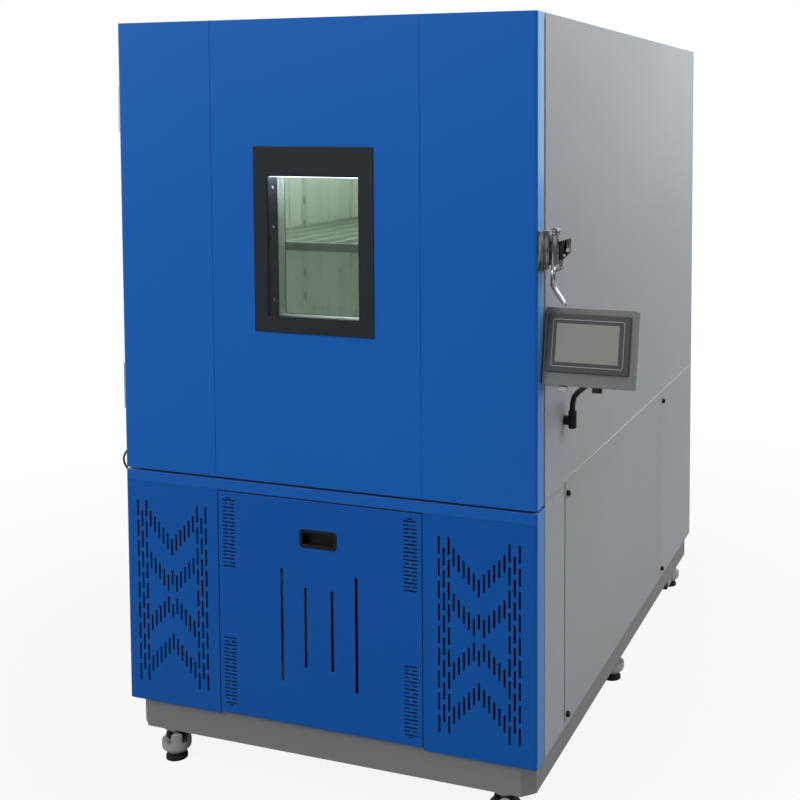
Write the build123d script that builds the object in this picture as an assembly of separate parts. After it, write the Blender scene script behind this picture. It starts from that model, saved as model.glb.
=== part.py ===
"""Floor-standing temperature and humidity test chamber.

Millimetres. While it is built, X runs to the right, Y to the back and Z up, with the front
face of the door at Y 0, the middle of the cabinet at X 0 and the floor at Z 0. The finished
pieces are moved together so that the origin is the middle of the footprint, on the floor.
"""
from build123d import *
import os
from math import cos, pi, radians, sin, tan

# Cabinet
WIDTH = 1150.0
DEPTH = 1800.0
HEIGHT = 1980.0
SHEET = 2.0
FRONT_CENTRE = -8.0
CORNER_RADIUS = 8.0
SHELL_FRONT = 62.0
SEAT_GAP = 0.3

# Plinth and machine bay
PLINTH_BOTTOM = 107.0
PLINTH_TOP = 187.0
PLINTH_INSET = 15.0
PLINTH_CHAMFER = 30.0
PLINTH_WALL = 3.0
PLINTH_FLANGE = 140.0
POST = 40.0
POST_WALL = 3.0
STILE = 44.0
DECK_TOP = 813.0
DECK_THICK = 4.0
DECK_RAIL = 30.0
CROSS_MEMBER = 6.0

# Lower front: two vent panels, a rail above them and the pull-off service panel
FASCIA_DEPTH = 58.0
PAN_FLANGE = 22.0
RAIL_FLANGE = 8.0
RAIL_TOP = 807.0
SEAM_HEIGHT = 780.0
SEAM = 1.0
SERVICE_WIDTH = 571.0
SERVICE_BOTTOM = 193.0
SERVICE_TOP = 776.0
SERVICE_DEPTH = 20.0
SERVICE_GAP = 3.0
SERVICE_SLOT_WIDTH = 8.0
SERVICE_SLOTS = ((105.0, 302.0, 596.0), (37.5, 346.0, 553.0))
GUIDE_PIN_RADIUS = 5.0
GUIDE_PIN_INSET = 15.0
GUIDE_PIN_TIP = 118.0
RUNNING_CLEARANCE = 0.05

# Chevron vent pattern
VENT_COLUMNS = 17
VENT_EDGE_COLUMNS = 3
VENT_PITCH_X = 13.0
VENT_PITCH_Z = 55.5
VENT_SLOT_LENGTH = 44.0
VENT_SLOT_WIDTH = 5.5
VENT_ROWS = 9
VENT_TOP = 728.5
CHEVRON_START = 0.48
CHEVRON_STEP = 0.245
CHEVRON_NOTCH_TOP = 3.24
CHEVRON_NOTCH_LENGTH = 0.68

# Small louvre groups in the corners of the service panel
LOUVRE_ROWS = 19
LOUVRE_PITCH = 9.6
LOUVRE_HEIGHT = 4.0
LOUVRE_WIDTH = 35.0
LOUVRE_BRIDGE = 7.0
LOUVRE_PEAK = 12.0
LOUVRE_INSET = 30.0
LOUVRE_UPPER_TOP = 757.0
LOUVRE_LOWER_TOP = 394.0

# Recessed pull
PULL_WIDTH = 103.0
PULL_HEIGHT = 46.0
PULL_TOP = 704.0
PULL_CENTRE = -3.0
PULL_LIP = 6.0
PULL_CUP_DEPTH = 24.0
PULL_WALL = 2.0

# Main door
DOOR_BOTTOM = 814.0
DOOR_DEPTH = 50.0
DOOR_FLANGE = 22.0
GROOVE_WIDTH = 2.5
GROOVE_DEPTH = 1.0
GROOVE_SPREAD = 288.5
PLUG_CLEARANCE = 12.0
PLUG_REAR = 102.0
GASKET_INSET = 27.0
GASKET_WIDTH = 28.0

# Window
WINDOW_WIDTH = 332.0
WINDOW_HEIGHT = 466.0
WINDOW_RISE = 43.0
BORDER_SIDE = 38.0
BORDER_BOTTOM = 38.0
BORDER_TOP = 71.5
BORDER_PROUD = 3.0
COLLAR_WALL = 4.0
COLLAR_REAR = 10.0
PANE = 5.0
TUNNEL_MARGIN = 8.0
LAMP_RADIUS = 7.0
LAMP_LENGTH = 230.0
LAMP_Y = 70.0

# Insulated box
CAVITY_WIDTH = 850.0
FLOOR_INSULATION = 101.0
ROOF_INSULATION = 116.0
REAR_INSULATION = 200.0
MOTOR_SPACE = 300.0
DUCT_DEPTH = 140.0
DUCT_SLOT_INSET = 60.0
DUCT_SLOT = (600.0, 12.0)
DUCT_SLOT_COUNT = 5
DUCT_SLOT_PITCH = 30.0
SHELF_RISE = 471.0
SHELF_THICK = 22.0
SHELF_FRONT = 190.0
SHELF_REAR_GAP = 60.0
SHELF_BAR = 16.0
SHELF_BAR_COUNT = 12
SHELF_TRACK = 12.0
SHELF_RAIL = 30.0
TRACK_WIDTH = 30.0
TRACK_INSET = 60.0

# Circulation fan
FAN_DROP = 174.0
FAN_DUCT_GAP = 30.0
FAN_HUB = 30.0
BLADE_THICK = 4.0
FAN_RADIUS = 115.0
FAN_WIDTH = 60.0
FAN_BLADES = 10
FAN_SHAFT_RADIUS = 10.0
MOTOR_RADIUS = 75.0
MOTOR_LENGTH = 170.0
MOTOR_PLATE = 220.0
MOTOR_PLATE_THICK = 5.0
COIL_DEPTH = 90.0
COIL_HEIGHT = 300.0
COIL_MARGIN = 100.0
COIL_FINS = 12
COIL_FIN_DEPTH = 25.0
COIL_RIM = 20.0

# Machine bay contents
TANK = (200.0, 300.0, 330.0)
TANK_PLACE = (-260.0, 150.0)
TANK_CORNER = 18.0
TANK_NECK_RADIUS = 24.0
TANK_NECK_INSET = 50.0
COMPRESSOR_PLACE = (130.0, 420.0)
COMPRESSOR_RADIUS = 110.0
COMPRESSOR_HEIGHT = 300.0
COMPRESSOR_DOME = 40.0
COMPRESSOR_FOOT = (260.0, 180.0, 8.0)
CONDENSER_REAR_GAP = 310.0
CONDENSER_SIZE = (700.0, 90.0, 460.0)
CONDENSER_FAN_RADIUS = 175.0
CONDENSER_FAN_HUB = 45.0
CONDENSER_FAN_WIDTH = 36.0
CONDENSER_FAN_GAP = 12.0
CONDENSER_FAN_BLADES = 5
CONDENSER_BLADE_PITCH = 55.0
CONDENSER_STUB_RADIUS = 12.0
CONDENSER_RING_DEPTH = 60.0

# Louvre slots of the rear sheet, in two columns
REAR_SLOT = (270.0, 9.0)
REAR_SLOT_LEFT = (-290.0, 20.0)
REAR_SLOT_PITCH = 34.0
REAR_LOWER_RISE = 93.0
REAR_LOWER_ROWS = 11
REAR_UPPER_DROP = 90.0
REAR_UPPER_ROWS = 6

# Side covers
SIDE_SEAM = 816.0
COVER_FRONT = 220.0
COVER_REAR_GAP = 468.0
COVER_BOTTOM = 203.0
COVER_TOP = 823.0
COVER_OVERLAP = 32.0
PLUG_INSET = (15.0, 31.0)
PLUG_HEAD_RADIUS = 7.5
PLUG_HEAD = 9.0
PLUG_BEVEL = 2.5
PLUG_SHANK_RADIUS = 4.0

# Door hinges
HINGE_X = 17.0
HINGE_Y = 56.0
HINGE_RADIUS = 11.0
HINGE_PIN_RADIUS = 5.0
HINGE_HEIGHT = 120.0
HINGE_LOWER_RISE = 216.0
HINGE_UPPER_DROP = 220.0
HINGE_LEAF = 4.0
HINGE_LEAF_LENGTH = 44.0

# Door latch, on the free side of the door
LATCH_BASE_DROP = 93.0
LATCH_BASE_RISE = 1.0
LATCH_FRONT = 3.0
LATCH_DEPTH = 44.0
LATCH_BASE = 14.0
LATCH_BODY = 12.0
KNUCKLE_DROP = 17.0
LATCH_PIVOT_OUT = 36.0
LATCH_PIVOT_HEIGHT = 1473.0
LATCH_PIN_RADIUS = 4.0
LATCH_EAR = 4.5
LATCH_EAR_RADIUS = 9.5
LEVER_WIDTH = 15.0
LEVER_THICK = 6.5
LEVER_PATH = ((32.0, 73.0), (29.5, 127.0), (55.0, 161.0), (61.0, 172.0))
TOE_THICK = 7.0
TOE_HEIGHT = 24.0
TOE_GAP = 1.0
STRIKE_Y = 67.0
STRIKE_THICK = 4.0
STRIKE_REACH = 87.0
STRIKE_HOLES = ((54.0, 38.0, 4.5), (45.0, 25.0, 3.0), (36.0, 12.0, 3.0))

# Touch controller on its tilted box
BOX_LEFT_GAP = 4.0
BOX_FRONT = 22.0
BOX_HEIGHT_OVER_FLOOR = 1113.0
BOX_TILT = 12.0
BOX_SIZE = (218.5, 181.0, 32.0)
BOX_WALL = 1.5
BEZEL_SIZE = (200.0, 136.5)
BEZEL_PLACE = (7.2, 31.0)
BEZEL_THICK = 6.0
BEZEL_BODY = 4.0
SCREEN_SIZE = (152.4, 91.4)
SCREEN_PLACE = (29.5, 54.0)
SCREEN_RECESS = 1.5
ARM_LENGTH = 205.0
ARM_WIDTH = 46.0

# Conduit of the controller and cable loop at the hinge side
CONDUIT_RADIUS = 7.0
ELBOW_RADIUS = 10.5
ELBOW_PLACE = (21.0, 215.0, 983.0)
ELBOW_HEIGHT = 45.0
OUTLET_GLAND = 12.0
CABLE_RADIUS = 2.75
CABLE_GLAND = 10.0
CABLE_GLAND_RADIUS = 8.0
CABLE_LOOP_HEIGHT = 800.0
CABLE_LOOP_Y = 100.0
CABLE_LOOP_REACH = 86.0
CABLE_LOOP = ((CABLE_GLAND, 43.0), (37.0, 43.0), (70.0, 29.0))

# Levelling casters
CASTER_FRONT_X = 476.0
CASTER_SIDE_X = 508.0
CASTER_FRONT_ROW = 75.0
CASTER_REAR_INSET = 55.0
CASTER_MIDDLE_SHIFT = 20.0
CASTER_TURNS = (35.0, 20.0, 25.0, 25.0, 180.0, 180.0)
CASTER_PLATE = 90.0
CASTER_PLATE_THICK = 5.0
KINGPIN_RADIUS = 8.0
KINGPIN_LENGTH = 22.0
DRUM_RADIUS = 39.0
DRUM_BOTTOM = 20.0
PAD_RADIUS = 29.0
PAD_THICK = 11.0
PAD_TRAVEL = 8.0
PAD_SCREW_TOP = 56.0
PAD_SCREW_RADIUS = 7.0
WHEEL_RADIUS = 23.0
WHEEL_WIDTH = 22.0
WHEEL_LIFT = 4.0
WHEEL_BEVEL = 2.5
WHEEL_OFFSET = 64.0
AXLE_RADIUS = 4.0
CHEEK = 5.0

HALF = WIDTH / 2
CAVITY_HALF = CAVITY_WIDTH / 2
CAVITY_BOTTOM = DECK_TOP + FLOOR_INSULATION
CAVITY_TOP = HEIGHT - ROOF_INSULATION
INSULATION_REAR = DEPTH - MOTOR_SPACE
CAVITY_REAR = INSULATION_REAR - REAR_INSULATION
DUCT_PANEL_Y = CAVITY_REAR - DUCT_DEPTH
SHELF_HEIGHT = CAVITY_BOTTOM + SHELF_RISE
SHELF_REAR = DUCT_PANEL_Y - SHELF_REAR_GAP
FAN_HEIGHT = CAVITY_TOP - FAN_DROP
FAN_Y = DUCT_PANEL_Y + FAN_DUCT_GAP
COVER_REAR = DEPTH - COVER_REAR_GAP
CONDENSER_Y = DEPTH - CONDENSER_REAR_GAP - CONDENSER_SIZE[1]
CASTER_REAR_ROW = DEPTH - CASTER_REAR_INSET
CASTER_MIDDLE_ROW = (CASTER_FRONT_ROW + CASTER_REAR_ROW) / 2 + CASTER_MIDDLE_SHIFT
CASTER_ROWS = (CASTER_FRONT_ROW, CASTER_MIDDLE_ROW, CASTER_REAR_ROW)
SERVICE_LEFT = FRONT_CENTRE + 2.0 - SERVICE_WIDTH / 2
SERVICE_RIGHT = SERVICE_LEFT + SERVICE_WIDTH
WINDOW_LEFT = FRONT_CENTRE - WINDOW_WIDTH / 2
WINDOW_RIGHT = WINDOW_LEFT + WINDOW_WIDTH
WINDOW_BOTTOM = (CAVITY_BOTTOM + CAVITY_TOP) / 2 + WINDOW_RISE - WINDOW_HEIGHT / 2
WINDOW_TOP = WINDOW_BOTTOM + WINDOW_HEIGHT
GLASS_LEFT = WINDOW_LEFT + BORDER_SIDE
GLASS_RIGHT = WINDOW_RIGHT - BORDER_SIDE
GLASS_BOTTOM = WINDOW_BOTTOM + BORDER_BOTTOM
GLASS_TOP = WINDOW_TOP - BORDER_TOP
HINGE_AXIS = (-HALF - HINGE_X, HINGE_Y)
HINGE_HEIGHTS = (DOOR_BOTTOM + HINGE_LOWER_RISE, HEIGHT - HINGE_UPPER_DROP)
LATCH_PIVOT_X = HALF + LATCH_PIVOT_OUT
LATCH_PIVOT_Y = LATCH_FRONT + LATCH_DEPTH / 2
LATCH_BOTTOM = LATCH_PIVOT_HEIGHT - LATCH_BASE_DROP
LATCH_TOP = LATCH_PIVOT_HEIGHT + LATCH_BASE_RISE
KNUCKLE_BOTTOM = LATCH_PIVOT_HEIGHT - KNUCKLE_DROP
BOX_PLANE = Plane(
    origin=(HALF + BOX_LEFT_GAP, BOX_FRONT, BOX_HEIGHT_OVER_FLOOR),
    x_dir=(1, 0, 0),
    z_dir=(0, -cos(radians(BOX_TILT)), sin(radians(BOX_TILT))),
)


def block(x0, x1, y0, y1, z0, z1):
    """Box between two corners."""
    place = Pos((x0 + x1) / 2, (y0 + y1) / 2, (z0 + z1) / 2)
    return place * Box(x1 - x0, y1 - y0, z1 - z0)


def rod(start, direction, radius, length):
    """Round bar that starts at a point and runs along a direction."""
    bar = Cylinder(radius, length, align=(Align.CENTER, Align.CENTER, Align.MIN))
    return Plane(origin=start, z_dir=direction).location * bar


def square_tube(x0, x1, y0, y1, z0, z1):
    """Upright hollow section, open at both ends."""
    inside = block(x0 + POST_WALL, x1 - POST_WALL, y0 + POST_WALL, y1 - POST_WALL, z0, z1)
    return block(x0, x1, y0, y1, z0, z1) - inside


def front_pan(x0, x1, z0, z1, depth, flange, round_left=False, round_right=False):
    """Folded sheet pan that faces the front, with a flange round its open back."""
    outer = block(x0, x1, 0, depth, z0, z1)
    inner = block(x0 + SHEET, x1 - SHEET, SHEET, depth - SHEET, z0 + SHEET, z1 - SHEET)
    for shape_round, side in ((round_left, 0), (round_right, -1)):
        if not shape_round:
            continue
        edge = outer.edges().filter_by(Axis.Z).group_by(Axis.Y)[0].sort_by(Axis.X)[side]
        outer = fillet(edge, CORNER_RADIUS)
        edge = inner.edges().filter_by(Axis.Z).group_by(Axis.Y)[0].sort_by(Axis.X)[side]
        inner = fillet(edge, CORNER_RADIUS - SHEET)
    back = block(
        x0 + flange, x1 - flange, depth - 2 * SHEET, depth + SHEET, z0 + flange, z1 - flange
    )
    return outer - inner - back


def joined(solids):
    """One shape from several touching solids."""
    first, *rest = solids
    return first.fuse(*rest) if rest else first


def path_radii(points):
    """Largest tangent arc for each corner of a route, as its two runs allow."""
    radii = []
    for before, corner, after in zip(points, points[1:], points[2:]):
        run_in = Vector(*corner) - Vector(*before)
        run_out = Vector(*after) - Vector(*corner)
        half_turn = radians(run_in.get_angle(run_out)) / 2
        radii.append(0.45 * min(run_in.length, run_out.length) / tan(half_turn))
    return radii


def cable(points, radius, name):
    """Round cable of straight runs joined by tangent arcs."""
    radii = path_radii(points)
    path = FilletPolyline(*points, radius=radii)
    start = Vector(*points[1]) - Vector(*points[0])
    section = Plane(origin=points[0], z_dir=start) * Circle(radius)
    tube = sweep(section, path=path)
    ratio = tube.volume / (pi * radius**2 * path.length)
    print(name, "radii", [round(r) for r in radii], "volume ratio", round(ratio, 3))
    return tube


# Plinth, casters' plates and machine frame


def plinth_outline(inset):
    """Footprint of the plinth, set in by a further distance, with its front corners cut."""
    half = HALF - PLINTH_INSET - inset
    front = PLINTH_INSET + inset
    rear = DEPTH - PLINTH_INSET - inset
    cut = PLINTH_CHAMFER - inset * (2 - 2**0.5)
    corners = [
        (-half, front + cut), (-half + cut, front), (half - cut, front),
        (half, front + cut), (half, rear), (-half, rear),
    ]
    return make_face(Polyline(*corners, close=True))


def caster_places():
    """Centre of each caster, front pair first, then the pairs along the sides."""
    places = []
    for row, y in enumerate(CASTER_ROWS):
        half = CASTER_FRONT_X if row == 0 else CASTER_SIDE_X
        middle = FRONT_CENTRE if row == 0 else 0.0
        places += [(middle - half, y), (middle + half, y)]
    return places


def plinth_well(grow):
    """Block of the open middle of the plinth, grown all round."""
    x1 = HALF - PLINTH_FLANGE + grow
    y0, y1 = PLINTH_FLANGE - grow, DEPTH - PLINTH_FLANGE + grow
    return block(-x1, x1, y0, y1, PLINTH_BOTTOM, PLINTH_TOP)


def make_plinth():
    """Box-section ring of folded sheet, two cross members and each caster's plate and kingpin."""
    height = PLINTH_TOP - PLINTH_BOTTOM
    ring = Pos(0, 0, PLINTH_BOTTOM) * extrude(plinth_outline(0), height)
    inside = Pos(0, 0, PLINTH_BOTTOM + PLINTH_WALL)
    hollow = inside * extrude(plinth_outline(PLINTH_WALL), height - 2 * PLINTH_WALL)
    ring -= hollow - plinth_well(PLINTH_WALL)
    ring -= plinth_well(0)
    half = CASTER_PLATE / 2
    members = []
    for y in (CASTER_MIDDLE_ROW - half, CASTER_MIDDLE_ROW + half):
        x1, reach = HALF - PLINTH_FLANGE, CROSS_MEMBER / 2
        members.append(block(-x1, x1, y - reach, y + reach, PLINTH_BOTTOM, PLINTH_TOP))
    mounts = []
    for x, y in caster_places():
        low = PLINTH_BOTTOM - CASTER_PLATE_THICK
        plate = block(x - half, x + half, y - half, y + half, low, PLINTH_BOTTOM)
        start = (x, y, low - KINGPIN_LENGTH)
        mounts.append(plate + rod(start, (0, 0, 1), KINGPIN_RADIUS, KINGPIN_LENGTH))
    return Compound([joined([ring] + members)] + mounts)


def stile_places():
    """Left edge of the two stiles that the service panel plugs into."""
    return (SERVICE_LEFT + GUIDE_PIN_INSET - STILE / 2, SERVICE_RIGHT - GUIDE_PIN_INSET - STILE / 2)


def guide_pin_places():
    """X and Z of the service panel's guide pins."""
    columns = (SERVICE_LEFT + GUIDE_PIN_INSET, SERVICE_RIGHT - GUIDE_PIN_INSET)
    rows = (SERVICE_BOTTOM + 2 * GUIDE_PIN_INSET, SERVICE_TOP - 2 * GUIDE_PIN_INSET)
    return [(x, z) for x in columns for z in rows]


def make_machine_frame():
    """Welded posts, front stiles, floor tray and the deck that carries the insulated box."""
    low = PLINTH_TOP
    high = DECK_TOP - DECK_THICK
    outer = HALF - SHEET - SEAT_GAP
    pieces = [
        block(-outer, outer, SHELL_FRONT + 2, DEPTH - SHEET - SEAT_GAP, low, low + POST_WALL),
        block(-outer, outer, SHELL_FRONT + 2, DEPTH - SHEET - SEAT_GAP, high, DECK_TOP),
    ]
    for y in (FASCIA_DEPTH, (COVER_FRONT + COVER_REAR) / 2, DEPTH - SHEET - SEAT_GAP - POST):
        for x0 in (-outer, outer - POST):
            pieces.append(square_tube(x0, x0 + POST, y, y + POST, low + POST_WALL, high))
    for x0 in stile_places():
        y1 = FASCIA_DEPTH + POST
        pieces.append(square_tube(x0, x0 + STILE, FASCIA_DEPTH, y1, low + POST_WALL, high))
    for x0 in (-outer, outer - POST):
        rail = block(x0, x0 + POST, SHELL_FRONT + 2, DEPTH - SHEET - SEAT_GAP, high - DECK_RAIL, high)
        pieces.append(rail)
    frame = joined(pieces)
    hole = GUIDE_PIN_RADIUS + RUNNING_CLEARANCE
    for x, z in guide_pin_places():
        frame -= rod((x, FASCIA_DEPTH - 1, z), (0, 1, 0), hole, POST + 2)
    return frame


# Outer shell


def make_side_sheets():
    """Upper sheet and lower sheet of each side; the lower one has the service opening."""
    upper = block(HALF - SHEET, HALF, SHELL_FRONT, DEPTH, SIDE_SEAM + SEAM / 2, HEIGHT - SHEET)
    lower = block(HALF - SHEET, HALF, SHELL_FRONT, DEPTH, PLINTH_TOP, SIDE_SEAM - SEAM / 2)
    lower -= block(
        HALF - 2 * SHEET, HALF + SHEET,
        COVER_FRONT + COVER_OVERLAP, COVER_REAR - COVER_OVERLAP,
        COVER_BOTTOM + COVER_OVERLAP, COVER_TOP - 1.5 * COVER_OVERLAP,
    )
    for y, z in plug_places():
        lower -= rod((HALF - 2 * SHEET, y, z), (1, 0, 0), PLUG_SHANK_RADIUS, 4 * SHEET)
    right = [upper, lower]
    return Compound(right + [mirror(s, about=Plane.YZ) for s in right])


def plug_places():
    """Y and Z of the four fasteners of a side cover."""
    in_y, in_z = PLUG_INSET
    rows = (COVER_BOTTOM + in_z / 2, COVER_TOP - in_z)
    return [(y, z) for y in (COVER_FRONT + in_y, COVER_REAR - in_y) for z in rows]


def make_access_covers():
    """Lay-on cover of each service opening."""
    cover = block(HALF, HALF + SHEET, COVER_FRONT, COVER_REAR, COVER_BOTTOM, COVER_TOP)
    for y, z in plug_places():
        cover -= rod((HALF - SHEET, y, z), (1, 0, 0), PLUG_SHANK_RADIUS, 4 * SHEET)
    return Compound([cover, mirror(cover, about=Plane.YZ)])


def make_cover_plugs():
    """Black quarter-turn plugs that hold the covers."""
    plugs = []
    for y, z in plug_places():
        face = HALF + SHEET
        head = rod((face, y, z), (1, 0, 0), PLUG_HEAD_RADIUS, PLUG_HEAD)
        head = chamfer(head.edges().filter_by(GeomType.CIRCLE).sort_by(Axis.X)[-1], PLUG_BEVEL)
        shank = rod((HALF - SHEET, y, z), (1, 0, 0), PLUG_SHANK_RADIUS, 2 * SHEET)
        plugs.append(head + shank)
    return Compound(plugs + [mirror(p, about=Plane.YZ) for p in plugs])


def make_roof():
    """Flat roof sheet."""
    return block(-HALF, HALF, SHELL_FRONT, DEPTH, HEIGHT - SHEET, HEIGHT)


def make_rear_panel():
    """Rear sheet with louvre slots for the condenser and the motor compartment."""
    panel = block(-HALF + SHEET, HALF - SHEET, DEPTH - SHEET, DEPTH, PLINTH_TOP, HEIGHT - SHEET)
    length, slot = REAR_SLOT
    lower = (PLINTH_TOP + REAR_LOWER_RISE, REAR_LOWER_ROWS)
    upper = (FAN_HEIGHT - REAR_UPPER_DROP, REAR_UPPER_ROWS)
    cutters = []
    for first, rows in (lower, upper):
        for row in range(rows):
            z = first + row * REAR_SLOT_PITCH
            for x0 in REAR_SLOT_LEFT:
                cutters.append(
                    block(x0, x0 + length, DEPTH - 2 * SHEET, DEPTH + SHEET, z, z + slot)
                )
    return panel.cut(*cutters)


# Lower front


def vent_slots():
    """Column, distance below the pattern's top and length of each slot of a vent panel."""
    slots = []
    total = (VENT_ROWS - 1) * VENT_PITCH_Z + VENT_SLOT_LENGTH
    for first_column in (0, VENT_COLUMNS - VENT_EDGE_COLUMNS):
        for index in range(VENT_EDGE_COLUMNS):
            staggered = index % 2
            for row in range(VENT_ROWS - staggered):
                top = (row + staggered / 2) * VENT_PITCH_Z
                slots.append((first_column + index, top, VENT_SLOT_LENGTH))
    middle = VENT_COLUMNS // 2
    for column in range(VENT_EDGE_COLUMNS, VENT_COLUMNS - VENT_EDGE_COLUMNS):
        steps = middle - VENT_EDGE_COLUMNS - abs(column - middle)
        for level in (0, 1):
            top = (2 * level + CHEVRON_START + steps * CHEVRON_STEP) * VENT_PITCH_Z
            length = VENT_SLOT_LENGTH
            if level == 1 and column == middle:
                top = CHEVRON_NOTCH_TOP * VENT_PITCH_Z
                length = CHEVRON_NOTCH_LENGTH * VENT_PITCH_Z
            slots.append((column, top, length))
            slots.append((column, total - top - length, length))
    return slots


def make_vent_panels():
    """Left and right lower panels with the chevron pattern of slots."""
    spans = (
        (-HALF, SERVICE_LEFT - SERVICE_GAP, True),
        (SERVICE_RIGHT + SERVICE_GAP, HALF, False),
    )
    panels = []
    for x0, x1, left in spans:
        pan = front_pan(
            x0, x1, PLINTH_TOP, SEAM_HEIGHT - SEAM / 2, FASCIA_DEPTH, PAN_FLANGE, left, not left
        )
        first = (x0 + x1) / 2 - (VENT_COLUMNS - 1) / 2 * VENT_PITCH_X
        cutters = []
        for column, top, length in vent_slots():
            x = first + column * VENT_PITCH_X
            z = VENT_TOP - top
            half = VENT_SLOT_WIDTH / 2
            cutters.append(block(x - half, x + half, -SHEET, 2 * SHEET, z - length, z))
        panels.append(pan.cut(*cutters))
    return Compound(panels)


def make_front_rail():
    """Blue rail between the main door and the lower panels."""
    low = SEAM_HEIGHT + SEAM / 2
    return front_pan(-HALF, HALF, low, RAIL_TOP, FASCIA_DEPTH, RAIL_FLANGE, True, True)


def louvre_cutters():
    """Short horizontal slots in the four corners of the service panel."""
    cutters = []
    centres = (SERVICE_LEFT + LOUVRE_INSET, SERVICE_RIGHT - LOUVRE_INSET)
    groups = ((LOUVRE_UPPER_TOP, True), (LOUVRE_LOWER_TOP, False))
    for x in centres:
        for top, peak_up in groups:
            for row in range(LOUVRE_ROWS):
                z = top - row * LOUVRE_PITCH
                spans = [(-LOUVRE_WIDTH / 2, LOUVRE_WIDTH / 2)]
                if row % 2:
                    spans = [
                        (-LOUVRE_WIDTH / 2, -LOUVRE_BRIDGE / 2),
                        (LOUVRE_BRIDGE / 2, LOUVRE_WIDTH / 2),
                    ]
                for a, b in spans:
                    cutters.append(block(x + a, x + b, -SHEET, 2 * SHEET, z - LOUVRE_HEIGHT, z))
            peak = top + LOUVRE_PITCH * 0.6 if peak_up else top - (LOUVRE_ROWS - 0.4) * LOUVRE_PITCH
            half = LOUVRE_PEAK / 2
            cutters.append(block(x - half, x + half, -SHEET, 2 * SHEET, peak - LOUVRE_HEIGHT, peak))
    return cutters


def make_service_panel():
    """Pull-off panel with long slots, corner louvres, the pull's cut-out and guide pins."""
    pan = front_pan(
        SERVICE_LEFT, SERVICE_RIGHT, SERVICE_BOTTOM, SERVICE_TOP, SERVICE_DEPTH, PAN_FLANGE
    )
    cutters = louvre_cutters()
    half = SERVICE_SLOT_WIDTH / 2
    for offset, low, high in SERVICE_SLOTS:
        for x in (PULL_CENTRE - offset, PULL_CENTRE + offset):
            cutters.append(block(x - half, x + half, -SHEET, 2 * SHEET, low, high))
    cutters.append(pull_cup(0))
    pan = pan.cut(*cutters)
    pins = [
        rod((x, SHEET, z), (0, 1, 0), GUIDE_PIN_RADIUS, GUIDE_PIN_TIP - SHEET)
        for x, z in guide_pin_places()
    ]
    return joined([pan] + pins)


def pull_cup(inset):
    """Block of the pull's cup, shrunk by an inset on all sides but the front."""
    half = PULL_WIDTH / 2 - PULL_LIP - inset
    return block(
        PULL_CENTRE - half, PULL_CENTRE + half, -5, PULL_CUP_DEPTH - inset,
        PULL_TOP - PULL_HEIGHT + PULL_LIP + inset, PULL_TOP - PULL_LIP - inset,
    )


def make_service_pull():
    """Black moulded cup pull with a rounded lip."""
    half = PULL_WIDTH / 2
    lip = block(PULL_CENTRE - half, PULL_CENTRE + half, -PULL_WALL, 0, PULL_TOP - PULL_HEIGHT, PULL_TOP)
    lip = fillet(lip.edges().filter_by(Axis.Y), 8.0)
    cup = pull_cup(0) & block(-HALF, HALF, 0, DEPTH, 0, HEIGHT)
    return (lip + cup) - pull_cup(PULL_WALL)


# Insulated box and what it holds


def make_front_frame():
    """Flat frame round the mouth of the insulated box, where the door gasket lands."""
    outer = block(-HALF + SHEET, HALF - SHEET, SHELL_FRONT, SHELL_FRONT + SHEET, DECK_TOP, HEIGHT - SHEET)
    mouth = block(-CAVITY_HALF, CAVITY_HALF, 0, DEPTH, CAVITY_BOTTOM, CAVITY_TOP)
    return outer - mouth


def make_liner():
    """Five stainless sheets of the inner box, and the shelf tracks and rails on its walls."""
    front, rear = SHELL_FRONT + SHEET, CAVITY_REAR
    inner, outer = CAVITY_HALF, CAVITY_HALF + SHEET
    below, above = CAVITY_BOTTOM - SHEET, CAVITY_TOP + SHEET
    back = block(-outer, outer, rear, rear + SHEET, below, above)
    back -= rod((0, rear - SHEET, FAN_HEIGHT), (0, 1, 0), 2 * FAN_SHAFT_RADIUS, 3 * SHEET)
    sheets = [
        block(-outer, -inner, front, rear, below, above),
        block(inner, outer, front, rear, below, above),
        block(-inner, inner, front, rear, below, CAVITY_BOTTOM),
        block(-inner, inner, front, rear, CAVITY_TOP, above),
        back,
    ]
    inset, half = TRACK_INSET, TRACK_WIDTH / 2
    low, high = CAVITY_BOTTOM + inset, CAVITY_TOP - inset
    tracks = []
    for side in (-1, 1):
        x0, x1 = sorted((side * CAVITY_HALF, side * (CAVITY_HALF - SHELF_TRACK)))
        for y in (SHELF_FRONT + inset, SHELF_REAR - inset):
            tracks.append(block(x0, x1, y - half, y + half, low, high))
        face, reach = CAVITY_HALF - SHELF_TRACK, CAVITY_HALF - SHELF_RAIL
        x0, x1 = sorted((side * face, side * reach))
        front, under = SHELF_FRONT + SHELF_BAR, SHELF_HEIGHT - SHELF_TRACK
        tracks.append(block(x0, x1, front, SHELF_REAR, under, SHELF_HEIGHT))
    return Compound(sheets + tracks)


def make_insulation():
    """Foam body between the liner and the outer shell."""
    front = SHELL_FRONT + SHEET
    body = block(
        -HALF + SHEET, HALF - SHEET, front, INSULATION_REAR, DECK_TOP, HEIGHT - SHEET
    )
    body -= block(
        -CAVITY_HALF - SHEET, CAVITY_HALF + SHEET, 0, CAVITY_REAR + SHEET,
        CAVITY_BOTTOM - SHEET, CAVITY_TOP + SHEET,
    )
    return body - rod((0, CAVITY_REAR - 5, FAN_HEIGHT), (0, 1, 0), 2 * FAN_SHAFT_RADIUS, DEPTH)


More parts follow.
